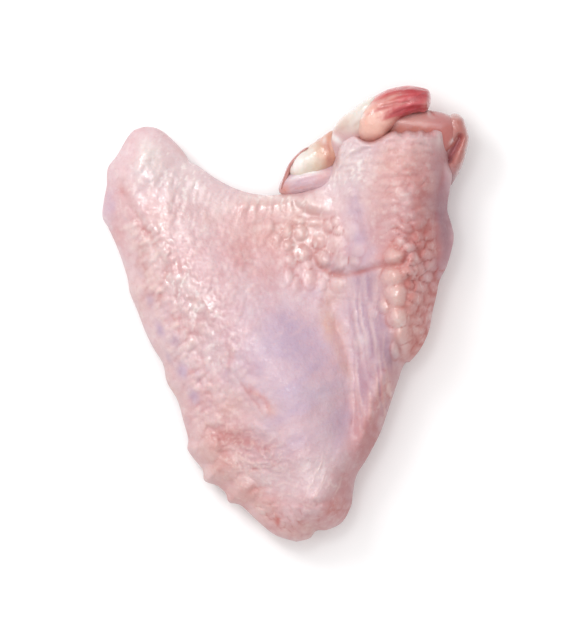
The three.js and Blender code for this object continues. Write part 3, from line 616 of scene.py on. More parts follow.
def fine_relief(x, y):
    """Cobbles, goose bumps, quill ridges and wrinkles, each a pattern times the region it grows in.

    Returns the height in millimetres, and how deep in a crease, how far up a bump and how deep in a lilac
    wrinkle a point is."""
    height, crease, tip, vein = (np.zeros(x.shape) for _ in range(4))
    wx, wy = warp(x, y, 9, 3, 1)
    vx, vy = warp(x, y, 4, 1.8, 3)
    broken = 0.3 + 1.4 * smooth(layered(x / 5, y / 5, 43), 0.3, 0.7)

    def grow(pattern, region, size, creased=0.0, tipped=0.0):
        """Adds region times size times the pattern less a half to the height, its valleys to the creases and
        the cube of the pattern to the tips. Valleys come with the pattern, or are the cube of 1 less it."""
        # valleys are tinted red, partly the skin's own red and partly painted shade; tips are tinted pale,
        # partly the skin's own paler tone and partly painted highlight
        nonlocal height, crease, tip
        if isinstance(pattern, tuple):
            pattern, valleys = pattern
        else:
            valleys = np.clip(1 - pattern, 0, 1) ** 3
        height += region * size * (pattern - 0.5)
        crease += region * creased * broken * valleys
        tip += region * tipped * np.clip(pattern, 0, 1) ** 3

    # cobbled skin of the upper arm, right of a border that follows the fold, fading towards the shoulder
    border = np.interp(y, [-21, -10, 0, 10, 20, 30, 45, 60, 72], [52, 52, 51, 50, 48, 44, 46, 50, 56])
    right = smooth(x, border - 2, border + 4)
    strip = smooth(x, 61, 65) * smooth(y, 14, 24)
    strong = right * smooth(y, -23, -16) * (1 - 0.8 * smooth(y, 26, 44)) * (1 - strip)
    ux, uy = warp(wx, wy, 2.8, 2.2, 7)
    grow(cells(ux / 5.4, uy / 4.4, 3), strong, 2.5, 1.2, 0.35)
    grow(layered(vx / 2.2, vy / 1.8, 5), strong, 0.5, 0.2, 0.1)
    upper = smooth(x, 32, 42) * smooth(y, 24, 40) * (1 - 0.7 * strip)
    grow(cells(ux / 7.5, uy / 3.0, 6, 0.9), upper, 0.7, 0.2, 0.2)
    grow(layered(wx / 4.5, wy / 1.6, 8), upper, 0.9, 0.1, 0.2)
    scallops = upper * smooth(y, 70, 75) * (1 - strip)
    grow(domes(vx / 4.8, vy / 5.0, 4), scallops, 0.8, 0.0, 0.1)

    # goose bumps of the web beside the shoulder, and the wet rough patch above them
    bumpy = patches([(10, 29, 13, 15, 0, 1.0), (14, 10, 9, 10, 0, 0.8), (-1, 38, 8, 7, 0, 0.6)], x, y)
    grow(domes(vx / 3.4, vy / 3.4, 7, 0.6), bumpy, 0.3, 0.3, 0.2)
    rough = patches([(26, 61, 8, 11, 0, 1.0), (33, 56, 7, 14, 0, 0.7), (33, 69, 10, 4, 20, 0.7)], x, y)
    grow(domes(vx / 2.0, vy / 2.3, 9, 0.7), rough, 0.9, 0.15, 0.6)
    grow(layered((x + 0.5 * y) / 1.5, (y - 0.5 * x) / 0.9, 10), rough, 0.9, 0.0, 0.5)

    # goose bumps of the forearm and the web, and the streaks that link them
    forearm_rows = [(-42, 14, 20, 38, 25, 1.0), (-22, 20, 22, 22, 0, 0.7), (-30, -20, 14, 24, 20, 0.9)]
    forearm = patches(forearm_rows, x, y)
    grow(domes(vx / 2.2, vy / 2.6, 13, 0.8), forearm, 0.5, 0.12, 0.4)
    grow(layered(x / 4.5, y / 7.5, 15), forearm, 1.6, 0.1, 0.1)
    bump_rows = [(-29, -24, 11, 20, 22, 1.0), (-15, -34, 8, 11, 25, 0.8), (-2, -54, 9, 7, 30, 0.5)]
    in_rows = patches(bump_rows, x, y)
    dx, dy = warp(x, y, 14, 2.0, 45)
    grow(domes((0.88 * dx + 0.47 * dy) / 4.3, (0.88 * dy - 0.47 * dx) / 3.7, 46, 0.5), in_rows, 0.7, 0.1, 0.5)
    wet = patches([(-44, 16, 8, 22, 25, 1.0), (-34, -6, 6, 12, 20, 0.8), (-30, 12, 8, 12, 0, 0.4)], x, y)
    grow(layered(x / 1.3, y / 1.9, 16), wet, 1.1, 0.0, 0.2)

    # wrinkles that cross the edge of the web, and the streaks below the wrist
    to_web, along_web, _ = near(at_shares(WEB_EDGE, np.linspace(0.15, 0.62, 60)), x, y)
    edge = smooth(x, -36, -20) * (1 - smooth(x, 10, 18)) * np.exp(-((to_web / 12) ** 2))
    comb = noise(along_web / 1.1 + 0.8 * layered(x / 6, y / 6, 17), to_web / 5, 19)
    grow(comb, edge, 1.3, 0.3, 0.7)
    streaked_rows = [(-42, 53, 9, 13, 15, 1.0), (-30, 43, 10, 12, 10, 0.8), (-16, 34, 14, 9, 0, 0.5)]
    streaked = patches(streaked_rows, x, y)
    grow(noise((x - 0.28 * y) / 1.2 + layered(x / 6, y / 6, 21), y / 5, 23), streaked, 0.8, 0.1, 0.7)
    turn, reach = np.arctan2(y - 71, x + 47), np.hypot(x + 47, y - 71)
    fanned = patches([(-58, 57, 10, 8, 0, 1.0)], x, y)
    grow(noise(8 * turn + 2 * layered(x / 4, y / 4, 24), reach / 5, 25), fanned, 1.6, 0.2, 0.9)
    wrist = patches([(-58, 66, 13, 11, 0, 1.0)], x, y)
    grow(layered(vx / 3.6, vy / 3.6, 26), wrist, 2.0, 0.1, 0.3)
    grow(layered(vx / 1.3, vy / 1.6, 28), wrist, 0.8, 0.1, 0.4)

    # quills along the forearm's back edge: short ridges that climb away from it
    to_edge, _, _ = near(at_shares(FOREARM_EDGE, np.linspace(0.3, 0.93, 80)), x, y)
    quills = np.exp(-(((to_edge - 12) / 8) ** 2)) * smooth(-x, 28, 38) * (1 - smooth(y, 34, 50))
    quills *= 1 - 0.8 * patches(WINDOWS, x, y)
    ridge = domes((0.75 * vx + 0.65 * vy) / 5.5, (0.75 * vy - 0.65 * vx) / 2.7, 27, 0.6)
    grow(ridge, quills, 1.0, 0.35, 0.6)

    # lengthwise wrinkles between the limbs, and the long bumps of the upper arm's lower end
    left_bead = np.interp(y, [-21, -10, 0, 10, 20], [47, 45, 42, 41, 41])
    inside = smooth(x, 24, 31) * (1 - smooth(x, left_bead - 3, left_bead + 1))
    valley = inside * smooth(y, -56, -30) * (1 - smooth(y, 12, 20))
    lines = (x + 0.1 * y) / 1.25 + 2 * layered(x / 12, y / 16, 29)
    wrinkle = smooth(0.6 * noise(lines, y / 14, 31) + 0.4 * noise(1.7 * lines, y / 9, 30), 0.25, 0.75)
    grow(wrinkle, valley, 0.7, 0.0, 0.45)
    vein += valley * (1 - wrinkle) ** 2
    lower = smooth(x, 30, 38) * (1 - smooth(y, -34, -14)) * smooth(y, -78, -56)
    grow(domes(vx / 3.0 + 0.16 * vy, vy / 6.0, 33, 0.9), lower, 0.7, 0.3, 0.35)

    # the crumpled skin left of the elbow and the pebbles under it
    corner = patches([(-16, -60, 15, 13, 0, 1.0), (-30, -46, 10, 7, 0, 0.7), (-6, -62, 10, 6, 0, 0.6)], x, y)
    grow(layered(vx / 4.2, vy / 2.6, 34), corner, 1.3, 0.7, 0.2)
    net = 1 - np.abs(2 * layered(vx / 3.8, vy / 1.8, 35) - 1) * 2.5
    grow(np.clip(net, 0, 1), corner, 0.9, 0.1, 0.8)
    tail = np.clip((1 - smooth(y, -84, -72)) + patches([(24, -76, 5, 12, 0, 0.8)], x, y), 0, 1)
    grow(pads(vx / 3.8, vy / 2.8, 37, 0.8), tail, 1.1, 0.6, 0.25)
    grow(layered(vx / 2.8, vy / 1.5, 38), tail, 1.1, 0.2)

    # gentle unevenness everywhere, least on the smooth belly of the forearm
    belly = patches([(4, -28, 20, 26, 0, 1.0)], x, y)
    grow(layered(x / 10, y / 10, 39), 1 - 0.4 * belly, 1.8)
    grow(layered(x / 2.4, y / 2.4, 41), (1 - 0.8 * belly) * (1 - 0.7 * strong) * (1 - 0.8 * bumpy), 0.5)
    return height, crease, tip, vein


def body_sheet(across, up, is_top):
    """One sheet: a quarter ellipse round the rim, then the field of heights with the relief on it, cut flat
    at the table. The underside takes only a share of the fine relief."""
    place = plan(across, up)
    x, y = place[..., 0], place[..., 1]
    distance, width, edge, is_cut = rim_field(x, y)
    distance[[0, -1]] = distance[:, [0, -1]] = 0
    q = np.minimum(distance / width, 1)
    rise = np.sqrt(q * (2 - q))
    top, under = field(x, y)
    broad, groove, pale = broad_relief(x, y)
    fine, crease, tip, vein = fine_relief(x, y)
    px, py = warp(x, y, 9, 7, 81)
    gx, gy = warp(x, y, 4, 2, 87)
    wet = patches(WET_PATCHES, px, py)
    fine_streaks = noise((gx + 0.2 * gy) / 0.8, gy / 1.2, 86)
    streaks = 0.6 * noise((gx - 0.3 * gy) / 1.1, gy / 2.6, 85) + 0.4 * fine_streaks
    far = top + broad + fine if is_top else under + UNDER_RELIEF * fine
    z = np.maximum(edge + rise * (far - edge), 0)
    band = CUT_BAND_TOP if is_top else CUT_BAND_UNDER
    meat = is_cut * np.exp(-((distance / band) ** 2))
    tint_a = [patches(rows, px, py) for rows in (LILAC_PATCHES, PEACH_PATCHES, ROSE_AND_SHADE_PATCHES, PALE_AND_HIGHLIGHT_PATCHES)]
    # the lilac is mottled in slanting bands, and the windows show through it
    tint_a[0] *= 0.65 + 0.6 * smooth(layered((x + 0.6 * y) / 17, (y - 0.6 * x) / 7, 48), 0.3, 0.7)
    tint_a[0] = np.maximum(tint_a[0], 1.3 * patches(WINDOWS, *warp(x, y, 3, 1, 83)) - 0.1)
    tint_b = [np.maximum(crease, groove), np.maximum(tip, pale), meat, wet]
    # painted glints: near-white specks in streaks on the wet places, weaker on the upper arm below the
    # shoulder
    painted_glint = wet * smooth(streaks, 0.6, 0.8) * (1 - 0.8 * smooth(x, 32, 36) * (1 - smooth(y, 40, 50)))
    unused = np.ones(x.shape)  # a colour has a fourth channel
    tint_c = [patches(PAINTED_SHADE_PATCHES, px, py), vein, painted_glint, unused]
    return np.stack([x, y, z], -1), tint_a, tint_b, tint_c


def body_arrays():
    """Points, quads and triangles of the closed body: a fine top sheet, an underside with every second row
    and column, and a ring of triangles that sews the two at the rim. The elbow's tip is one point."""
    rows, columns = rounded_steps(BODY_ROWS, *ROW_ENDS), rounded_steps(BODY_COLUMNS, *COLUMN_ENDS)
    across, up = np.meshgrid(columns, rows)
    top, top_a, top_b, top_c = body_sheet(across, up, True)
    inner = (slice(2, -1, 2), slice(2, -1, 2))
    low, low_a, low_b, low_c = body_sheet(across, up, False)

    def joined(upper, lower):
        """The elbow's tip once, the rest of the top sheet, then the inner points of the underside."""
        sheets = (part.reshape(-1, *part.shape[2:]) for part in (upper[1:], lower[inner]))
        return np.concatenate([upper[:1, 0], *sheets])

    points = joined(top, low)
    pairs = {"tint_a": (top_a, low_a), "tint_b": (top_b, low_b), "tint_c": (top_c, low_c)}
    tints = {label: [joined(a, b) for a, b in zip(*pair)] for label, pair in pairs.items()}
    upper = 1 + np.arange(BODY_ROWS * (BODY_COLUMNS + 1)).reshape(BODY_ROWS, BODY_COLUMNS + 1)
    shape = (BODY_ROWS // 2 - 1, BODY_COLUMNS // 2 - 1)
    lower = upper[-1, -1] + 1 + np.arange(shape[0] * shape[1]).reshape(shape)

    def quads_of(grid, a, b, c, d):
        """A quad for each square of a grid of indices, its corners in the order given."""
        corner = {"00": grid[:-1, :-1], "01": grid[:-1, 1:], "11": grid[1:, 1:], "10": grid[1:, :-1]}
        return np.stack([corner[key].ravel() for key in (a, b, c, d)], -1)

    quads = np.vstack([quads_of(upper, "00", "01", "11", "10"), quads_of(lower, "00", "10", "11", "01")])
    tip = np.zeros(BODY_COLUMNS, int)
    fans = [
        np.stack([tip, upper[0, 1:], upper[0, :-1]], -1),
        np.stack([tip[: shape[1] - 1], lower[0, :-1], lower[0, 1:]], -1),
    ]
    loop = np.concatenate([[0], upper[:, 0], upper[-1, 1:-1], upper[::-1, -1], [0]])
    mates = np.concatenate(
        [lower[:1, 0], lower[:, 0], lower[-1, :1], lower[-1], lower[-1, -1:], lower[::-1, -1], lower[:1, -1]]
    )
    a, b, c = loop[:-2:2], loop[1::2], loop[2::2]
    m, n = mates[:-1], mates[1:]
    ring = np.vstack([np.stack([a, b, m], -1), np.stack([b, c, n], -1), np.stack([b, n, m], -1)[m != n]])
    return points, quads, np.vstack([*fans, ring]), tints


# ------------------------------------------------------------------ the lobes


def lobe_arrays(lobe, relief, dent=None, rings=150, sides=112):
    """A lobe carried along its line, each section a superellipse, closed by a point at both ends.

    relief takes (place along, place round) from 0 to 1 and gives how far fibres and lumps stand out. dent
    takes x and y and gives how far the upper side sinks there, in full on top and less towards the sides."""
    line, (first, last), power = lobe
    shares = rounded_steps(rings, first, last)
    centre_x, centre_y, half_width, bottom, top = at_shares(line, shares).T
    centre = np.stack([centre_x, centre_y], -1)
    q = np.minimum(np.minimum(shares / first, (1 - shares) / last), 1)
    scale = np.sqrt(q * (2 - q))
    tangent = np.gradient(centre, axis=0)
    tangent /= np.hypot(tangent[:, 0], tangent[:, 1])[:, None]
    angle = 2 * np.pi * np.arange(sides) / sides
    c, s = np.cos(angle), np.sin(angle)
    round_ = (np.abs(c) ** power + np.abs(s) ** power) ** (-1 / power)
    fibres = relief(shares[:, None], angle[None] / (2 * np.pi))
    out = fibres[0] + fibres[1]
    aside = (scale * half_width)[:, None] * (c * round_)[None] + out * (c * scale[:, None])
    aloft = (scale * (top - bottom) / 2)[:, None] * (s * round_)[None] + out * (s * scale[:, None])
    x = centre[:, :1] + aside * tangent[:, 1:]
    y = centre[:, 1:] - aside * tangent[:, :1]
    z = ((top + bottom) / 2)[:, None] + aloft
    if dent:
        z = z - dent(x, y) * np.clip(1.6 * s * round_, 0, 1)[None]
    grid = np.stack([x, y, z], -1)
    points = np.concatenate([grid[:1, 0], grid[1:-1].reshape(-1, 3), grid[-1:, 0]])
    index = 1 + np.arange((rings - 1) * sides).reshape(rings - 1, sides)
    beside = np.roll(index, -1, axis=1)
    quads = np.stack([index[:-1], index[1:], beside[1:], beside[:-1]], -1).reshape(-1, 4)
    start, end = np.zeros(sides, int), np.full(sides, len(points) - 1)
    caps = ([start, index[0], beside[0]], [end, beside[-1], index[-1]])
    triangles = np.vstack([np.stack(cap, -1) for cap in caps])
    fibre = np.broadcast_to(fibres[0], x.shape)
    return points, quads, triangles, np.concatenate([fibre[:1, 0], fibre[1:-1].ravel(), fibre[-1:, 0]])


# ------------------------------------------------------------------ materials


class Graph:
    """A material and short calls that add nodes to it."""

    def __init__(self, name):
        """Starts with a new Principled material. place is each point's own position, in metres."""
        self.material = bpy.data.materials.new(name)
        self.material.use_nodes = True
        self.tree = self.material.node_tree
        self.shader = self.tree.nodes["Principled BSDF"]
        self.place = self.node("ShaderNodeTexCoord").outputs["Object"]

    def node(self, kind, inputs=None, **settings):
        """Adds a node with these settings and inputs."""
        made = self.tree.nodes.new(kind)
        for key, value in settings.items():
            setattr(made, key, value)
        for key, value in (inputs or {}).items():
            self.put(made.inputs[key], value)
        return made

    def put(self, socket, value):
        """Links an output to a socket, or sets the socket to a value."""
        if isinstance(value, bpy.types.NodeSocket):
            self.tree.links.new(value, socket)
        else:
            socket.default_value = value

    def mix(self, share, low, high):
        """A colour: low times one less the share, plus high times the share."""
        made = self.node("ShaderNodeMix", {0: share}, data_type="RGBA")
        for index, value in ((6, low), (7, high)):
            linked = isinstance(value, bpy.types.NodeSocket)
            self.put(made.inputs[index], value if linked else (*value, 1))
        return made.outputs[2]

    def math(self, kind, a, b, clamp=False):
        """The sum or product of two values, kept within 0 to 1 if so wished."""
        return self.node("ShaderNodeMath", {0: a, 1: b}, operation=kind, use_clamp=clamp).outputs[0]

    def spread(self, value, low, high, to_low=0.0, to_high=1.0):
        """The curve 3t^2 - 2t^3 of a value between low and high, stretched to run from to_low to to_high."""
        inputs = {"Value": value, "From Min": low, "From Max": high, "To Min": to_low, "To Max": to_high}
        return self.node("ShaderNodeMapRange", inputs, interpolation_type="SMOOTHSTEP").outputs["Result"]

    def grain(self, size, detail):
        """Noise whose features are about this many metres across."""
        inputs = {"Vector": self.place, "Scale": 1 / size, "Detail": detail, "Roughness": 0.6}
        return self.node("ShaderNodeTexNoise", inputs).outputs["Fac"]

    def tints(self, label):
        """The four channels of a point colour."""
        made = self.node("ShaderNodeAttribute", attribute_name=label)
        split = self.node("ShaderNodeSeparateColor", {"Color": made.outputs["Color"]})
        return *split.outputs[:3], made.outputs["Alpha"]

    def bump(self, height, distance, strength, base=None):
        """The normal of a surface raised by height times distance, in metres, on top of another normal."""
        inputs = {"Height": height, "Distance": distance, "Strength": strength}
        if base:
            inputs["Normal"] = base
        return self.node("ShaderNodeBump", inputs).outputs["Normal"]

    def finish(self, colour, roughness, normal, coat, depth, through, film=1.5):
        """Sets the shader: a wet coat, its film so refractive, over flesh that lets some light through."""
        values = {
            "Base Color": colour,
            "Roughness": roughness,
            "Normal": normal,
            "Coat Weight": coat,
            "Coat Roughness": 0.1,
            "Coat IOR": film,
            "Subsurface Weight": through,
            "Subsurface Scale": depth,
            "Subsurface Radius": (1.0, 0.42, 0.3),
            "IOR": 1.4,
            "Specular IOR Level": 0.45,
        }
        for key, value in values.items():
            self.put(self.shader.inputs[key], value)
        self.put(self.shader.inputs["Coat Normal"], normal)
        return self.material


def skin_material(p):
    """Skin: lilac, peach, rose and pale patches over pink, redder in creases and paler on bumps."""
    g = Graph("moist_skin")
    lilac, peach, rose, pale = g.tints("tint_a")
    crease, tip, meat, wet = g.tints("tint_b")
    painted_shade, vein, painted_glint = g.tints("tint_c")[:3]
    mottle, patch, speck = g.grain(0.0035, 3), g.grain(0.012, 3), g.grain(0.0012, 2)
    shade = g.mix(g.spread(patch, 0.35, 0.7), p.skin, p.skin_flush)
    shade = g.mix(g.math("MULTIPLY", lilac, g.spread(mottle, 0.2, 0.55, 0.6, 1.0)), shade, p.lilac)
    shade = g.mix(g.math("MULTIPLY", peach, g.spread(mottle, 0.3, 0.65, 0.5, 1.0)), shade, p.peach)
    # rose patches: the skin's own rose, and painted shade on the upper arm's right side
    shade = g.mix(g.math("MULTIPLY", rose, g.spread(patch, 0.25, 0.6, 0.6, 1.0)), shade, p.rose)
    # painted shade: the dusky patches darken the skin where it turns away from the light
    shade = g.mix(painted_shade, shade, p.painted_shade)
    shade = g.mix(g.math("MULTIPLY", vein, 0.5), shade, p.vein)
    # pale patches: the skin's own paler places, and painted highlights and painted light on a shaded corner
    shade = g.mix(pale, shade, p.pale)
    fewer = g.spread(g.math("ADD", lilac, painted_shade), 0.1, 0.6, 0.3, 0.05)
    shade = g.mix(g.math("MULTIPLY", g.spread(mottle, 0.5, 0.72), fewer), shade, p.pale)
    # bump tops paler: partly the skin's own paler tone, partly painted highlight
    shade = g.mix(g.math("MULTIPLY", tip, 0.6), shade, p.bump_top)
    # creases red: partly the skin's own red, partly painted shade
    shade = g.mix(g.math("MULTIPLY", crease, 0.6, clamp=True), shade, p.crease)
    # painted glints: near-white specks where the wet skin would shine
    shade = g.mix(g.math("MULTIPLY", painted_glint, 0.8), shade, p.painted_glint)
    shade = g.mix(g.math("MULTIPLY", g.spread(speck, 0.55, 0.75), 0.12), shade, p.crease)
    shade = g.mix(meat, shade, p.raw_pink)
    normal = g.bump(g.grain(0.0016, 3), 0.00035, 0.6, g.bump(g.grain(0.0045, 2), 0.0006, 0.5))
    wetness = g.math("MULTIPLY", g.spread(g.grain(0.006, 2), 0.35, 0.65, 0.35, 1.0), wet)
    roughness = g.spread(wetness, 0.0, 1.0, 0.5, 0.28)
    coat = g.spread(wetness, 0.0, 0.7, 0.12, 1.0)
    return g.finish(shade, roughness, normal, coat, 0.0018, 0.13, 1.95)


def meat_material(name, p, shades, blotches, film, coat=0.8):
    """Meat or gristle: tint_a holds how light its fibres are, where a film covers it, how deep red a groove
    is, partly painted shade, and where white is laid on: partly the tissue's own white, partly painted
    highlight."""
    g = Graph(name)
    fibre, covered, groove, bright = g.tints("tint_a")
    blotch = g.grain(0.005, 3)
    shade = g.mix(g.spread(fibre, 0.3, 0.7), *shades)
    shade = g.mix(g.math("MULTIPLY", g.spread(blotch, 0.45, 0.7), 0.5), shade, blotches)
    shade = g.mix(covered, shade, film)
    # deep red: the meat's own deep red, and painted shade in the gristle's hollows and the flap's crevice
    shade = g.mix(groove, shade, p.deep_red_and_shade)
    # white: partly the tissue's own white, partly painted highlight
    shade = g.mix(bright, shade, p.white_and_painted_shine)
    normal = g.bump(g.grain(0.0012, 2), 0.00015, 0.5, g.bump(g.grain(0.0032, 3), 0.0005, 0.5))
    return g.finish(shade, g.spread(g.grain(0.004, 2), 0.3, 0.7, 0.45, 0.25), normal, coat, 0.0022, 0.2)


# ------------------------------------------------------------------ what a user may change


def colour_property(name, red, green, blue):
    """A colour setting, its default given as 0 to 255 on screen."""
    return FloatVectorProperty(
        name=name, description=name, subtype="COLOR", size=3, min=0, max=1, default=linear(red, green, blue)
    )


class WING_PG_colours(bpy.types.PropertyGroup):
    """Colours of the skin, meat and gristle."""

    skin: colour_property("Skin, palest pink", 214, 187, 192)
    skin_flush: colour_property("Skin, deeper pink", 206, 170, 175)
    lilac: colour_property("Skin, lilac patches", 186, 162, 182)
    peach: colour_property("Skin, peach patches", 210, 170, 158)
    # also the colour of painted shade on the upper arm's right side
    rose: colour_property("Skin, rose patches", 190, 106, 98)
    # also the colour of painted highlights in the pale patches
    pale: colour_property("Skin, pale patches", 222, 208, 206)
    # colour of the painted shade in the dusky patches
    painted_shade: colour_property("Skin, dusky patches", 148, 106, 116)
    vein: colour_property("Lilac wrinkles", 158, 124, 146)
    # also the colour of painted highlights on bump tops
    bump_top: colour_property("Tops of bumps", 228, 204, 196)
    # also the colour of painted shade in creases
    crease: colour_property("Creases", 166, 72, 62)
    # colour of the painted glints
    painted_glint: colour_property("Painted glints", 240, 230, 226)
    raw_pink: colour_property("Cut edge", 190, 126, 120)
    red_meat: colour_property("Red muscle", 174, 40, 50)
    red_light: colour_property("Red muscle, light fibres", 198, 92, 98)
    film: colour_property("Film over the red muscle", 222, 176, 162)
    pale_meat: colour_property("Pale muscle", 190, 136, 132)
    pale_light: colour_property("Pale muscle, light fibres", 198, 148, 142)
    # the meat's warm tone, and the colour of painted shade under the skin's edge
    pale_warm_and_shade: colour_property("Pale muscle, beside the skin", 186, 118, 106)
    flap_meat: colour_property("Flap of muscle", 162, 86, 74)
    flap_dusky: colour_property("Flap of muscle, near the skin", 168, 128, 132)
    lilac_meat: colour_property("Lower slip", 194, 160, 170)
    lilac_light: colour_property("Lower slip, light fibres", 206, 178, 184)
    slip_corner: colour_property("Lower slip, corner", 212, 156, 148)
    gristle: colour_property("Gristle", 204, 172, 146)
    gristle_white: colour_property("Gristle, white", 214, 204, 194)
    gristle_warm: colour_property("Gristle, warm end", 200, 146, 126)
    sheath: colour_property("Sheath", 196, 162, 146)
    sheath_inner: colour_property("Sheath, pinker side", 202, 160, 162)
    capsule: colour_property("Joint capsule", 168, 116, 108)
    # the meat's own deep red, and the colour of painted shade in hollows and crevices
    deep_red_and_shade: colour_property("Deep red and painted shade", 156, 62, 70)
    # the tissue's own white, and the colour of painted highlights
    white_and_painted_shine: colour_property("White tissue and painted shine", 232, 226, 224)


class WING_PG_stage(bpy.types.PropertyGroup):
    """The floor, the light and the camera."""

    floor: colour_property("Floor", 250, 249, 249)
    camera_height: FloatProperty(
        name="Camera height", description="Camera above the table", default=2.5, unit="LENGTH"
    )
    frame_height: FloatProperty(
        name="Frame height", description="Long side of the picture, measured at the wing", default=0.2646,
        unit="LENGTH",
    )
    key_power: FloatProperty(
        name="Key light", description="Power of the light at the upper left", default=1.4, subtype="POWER"
    )
    broad_power: FloatProperty(
        name="Broad light", description="Power of the light above", default=8.05, subtype="POWER"
    )
    glint_power: FloatProperty(
        name="Glint light", description="Power of the small light", default=0.4, subtype="POWER"
    )
    sky: FloatProperty(name="Sky", description="Strength of the light from all round", default=0.6)


# The stage, in metres but for the sensor. Each light: (name, place, diameter, the setting of its power).
FLOOR_SIZE, FLOOR_DROP = 6, 0.0004
SENSOR_WIDTH = 36  # millimetres
MEAN_HEIGHT = 0.015  # of the wing, where the picture's size is measured
CAMERA_X, CAMERA_Y, CAMERA_REACH = 0.0002, -0.0004, 20
LIGHT_TARGET = (0, 0, 0.02)
LIGHTS = [
    ("key_light", (-0.33, 0.33, 0.55), 0.26, "key_power"),
    ("broad_light", (-0.15, 0.15, 1.2), 1.5, "broad_power"),
    ("glint_light", (-0.1, 0.15, 0.75), 0.12, "glint_power"),
]


# ------------------------------------------------------------------ operators


class WING_OT_skin(bpy.types.Operator):
    """Build the skinned body: forearm, elbow, upper arm and the web between them."""

    bl_idname = "wing.skin"
    bl_label = "Skinned body"

    def execute(self, context):
        """Adds the body with its material."""
        points, quads, triangles, tints = body_arrays()
        material = skin_material(context.scene.wing_colours)
        put_mesh("skinned_body", points, quads, triangles, material, tints, "wing_skin")
        return {"FINISHED"}


def add_lobe(name, lobe, node, slot, material, relief, looks, dent=None, **size):
    """Puts one lobe into the scene. looks takes the points' x and y, in millimetres, and gives the shares of
    film, groove and shine there."""
    points, quads, triangles, fibre = lobe_arrays(lobe, relief, dent, **size)
    x, y = points[:, 0], points[:, 1]
    given = [np.broadcast_to(share, x.shape) for share in looks(x, y)]
    tints = {"tint_a": [0.5 + fibre, *given]}
    put_mesh(name, points, quads, triangles, material, tints, node)


def strands(count, depth, lump, seed, smooth_end=0.0):
    """Relief of a lobe: fibres that are fine round it and long along it, none on its smooth end, and
    lumps."""

    def relief(along, around):
        """Fibres: two noises that come round, one half the size of the other, less 0.8. Lumps: layered
        noise."""
        turn = 2 * np.pi * around
        bent = along * 4 + 0.8 * noise(along * 7, 3 * around, seed + 1, 3)
        finer = noise(2 * bent, around * 2 * count, seed + 2, 2 * count)
        fibres = noise(bent, around * count, seed, count) + 0.6 * finer
        lumps = layered(along * 6 + np.cos(turn), 1.2 * np.sin(turn) + 3 * along, seed + 4)
        return depth * (fibres - 0.8) * smooth(along, smooth_end, smooth_end + 0.25), lump * (lumps - 0.5)

    return relief


def groove_along(line, x, y, width):
    """A bell curve of the distance to a line, which fades at both ends of the line."""
    distance, along, _ = near(line, x, y)
    ends = smooth(length_of(line) - along, -0.5, 2.5)
    return np.exp(-((distance / width) ** 2)) * smooth(along, -0.5, 2.5) * ends


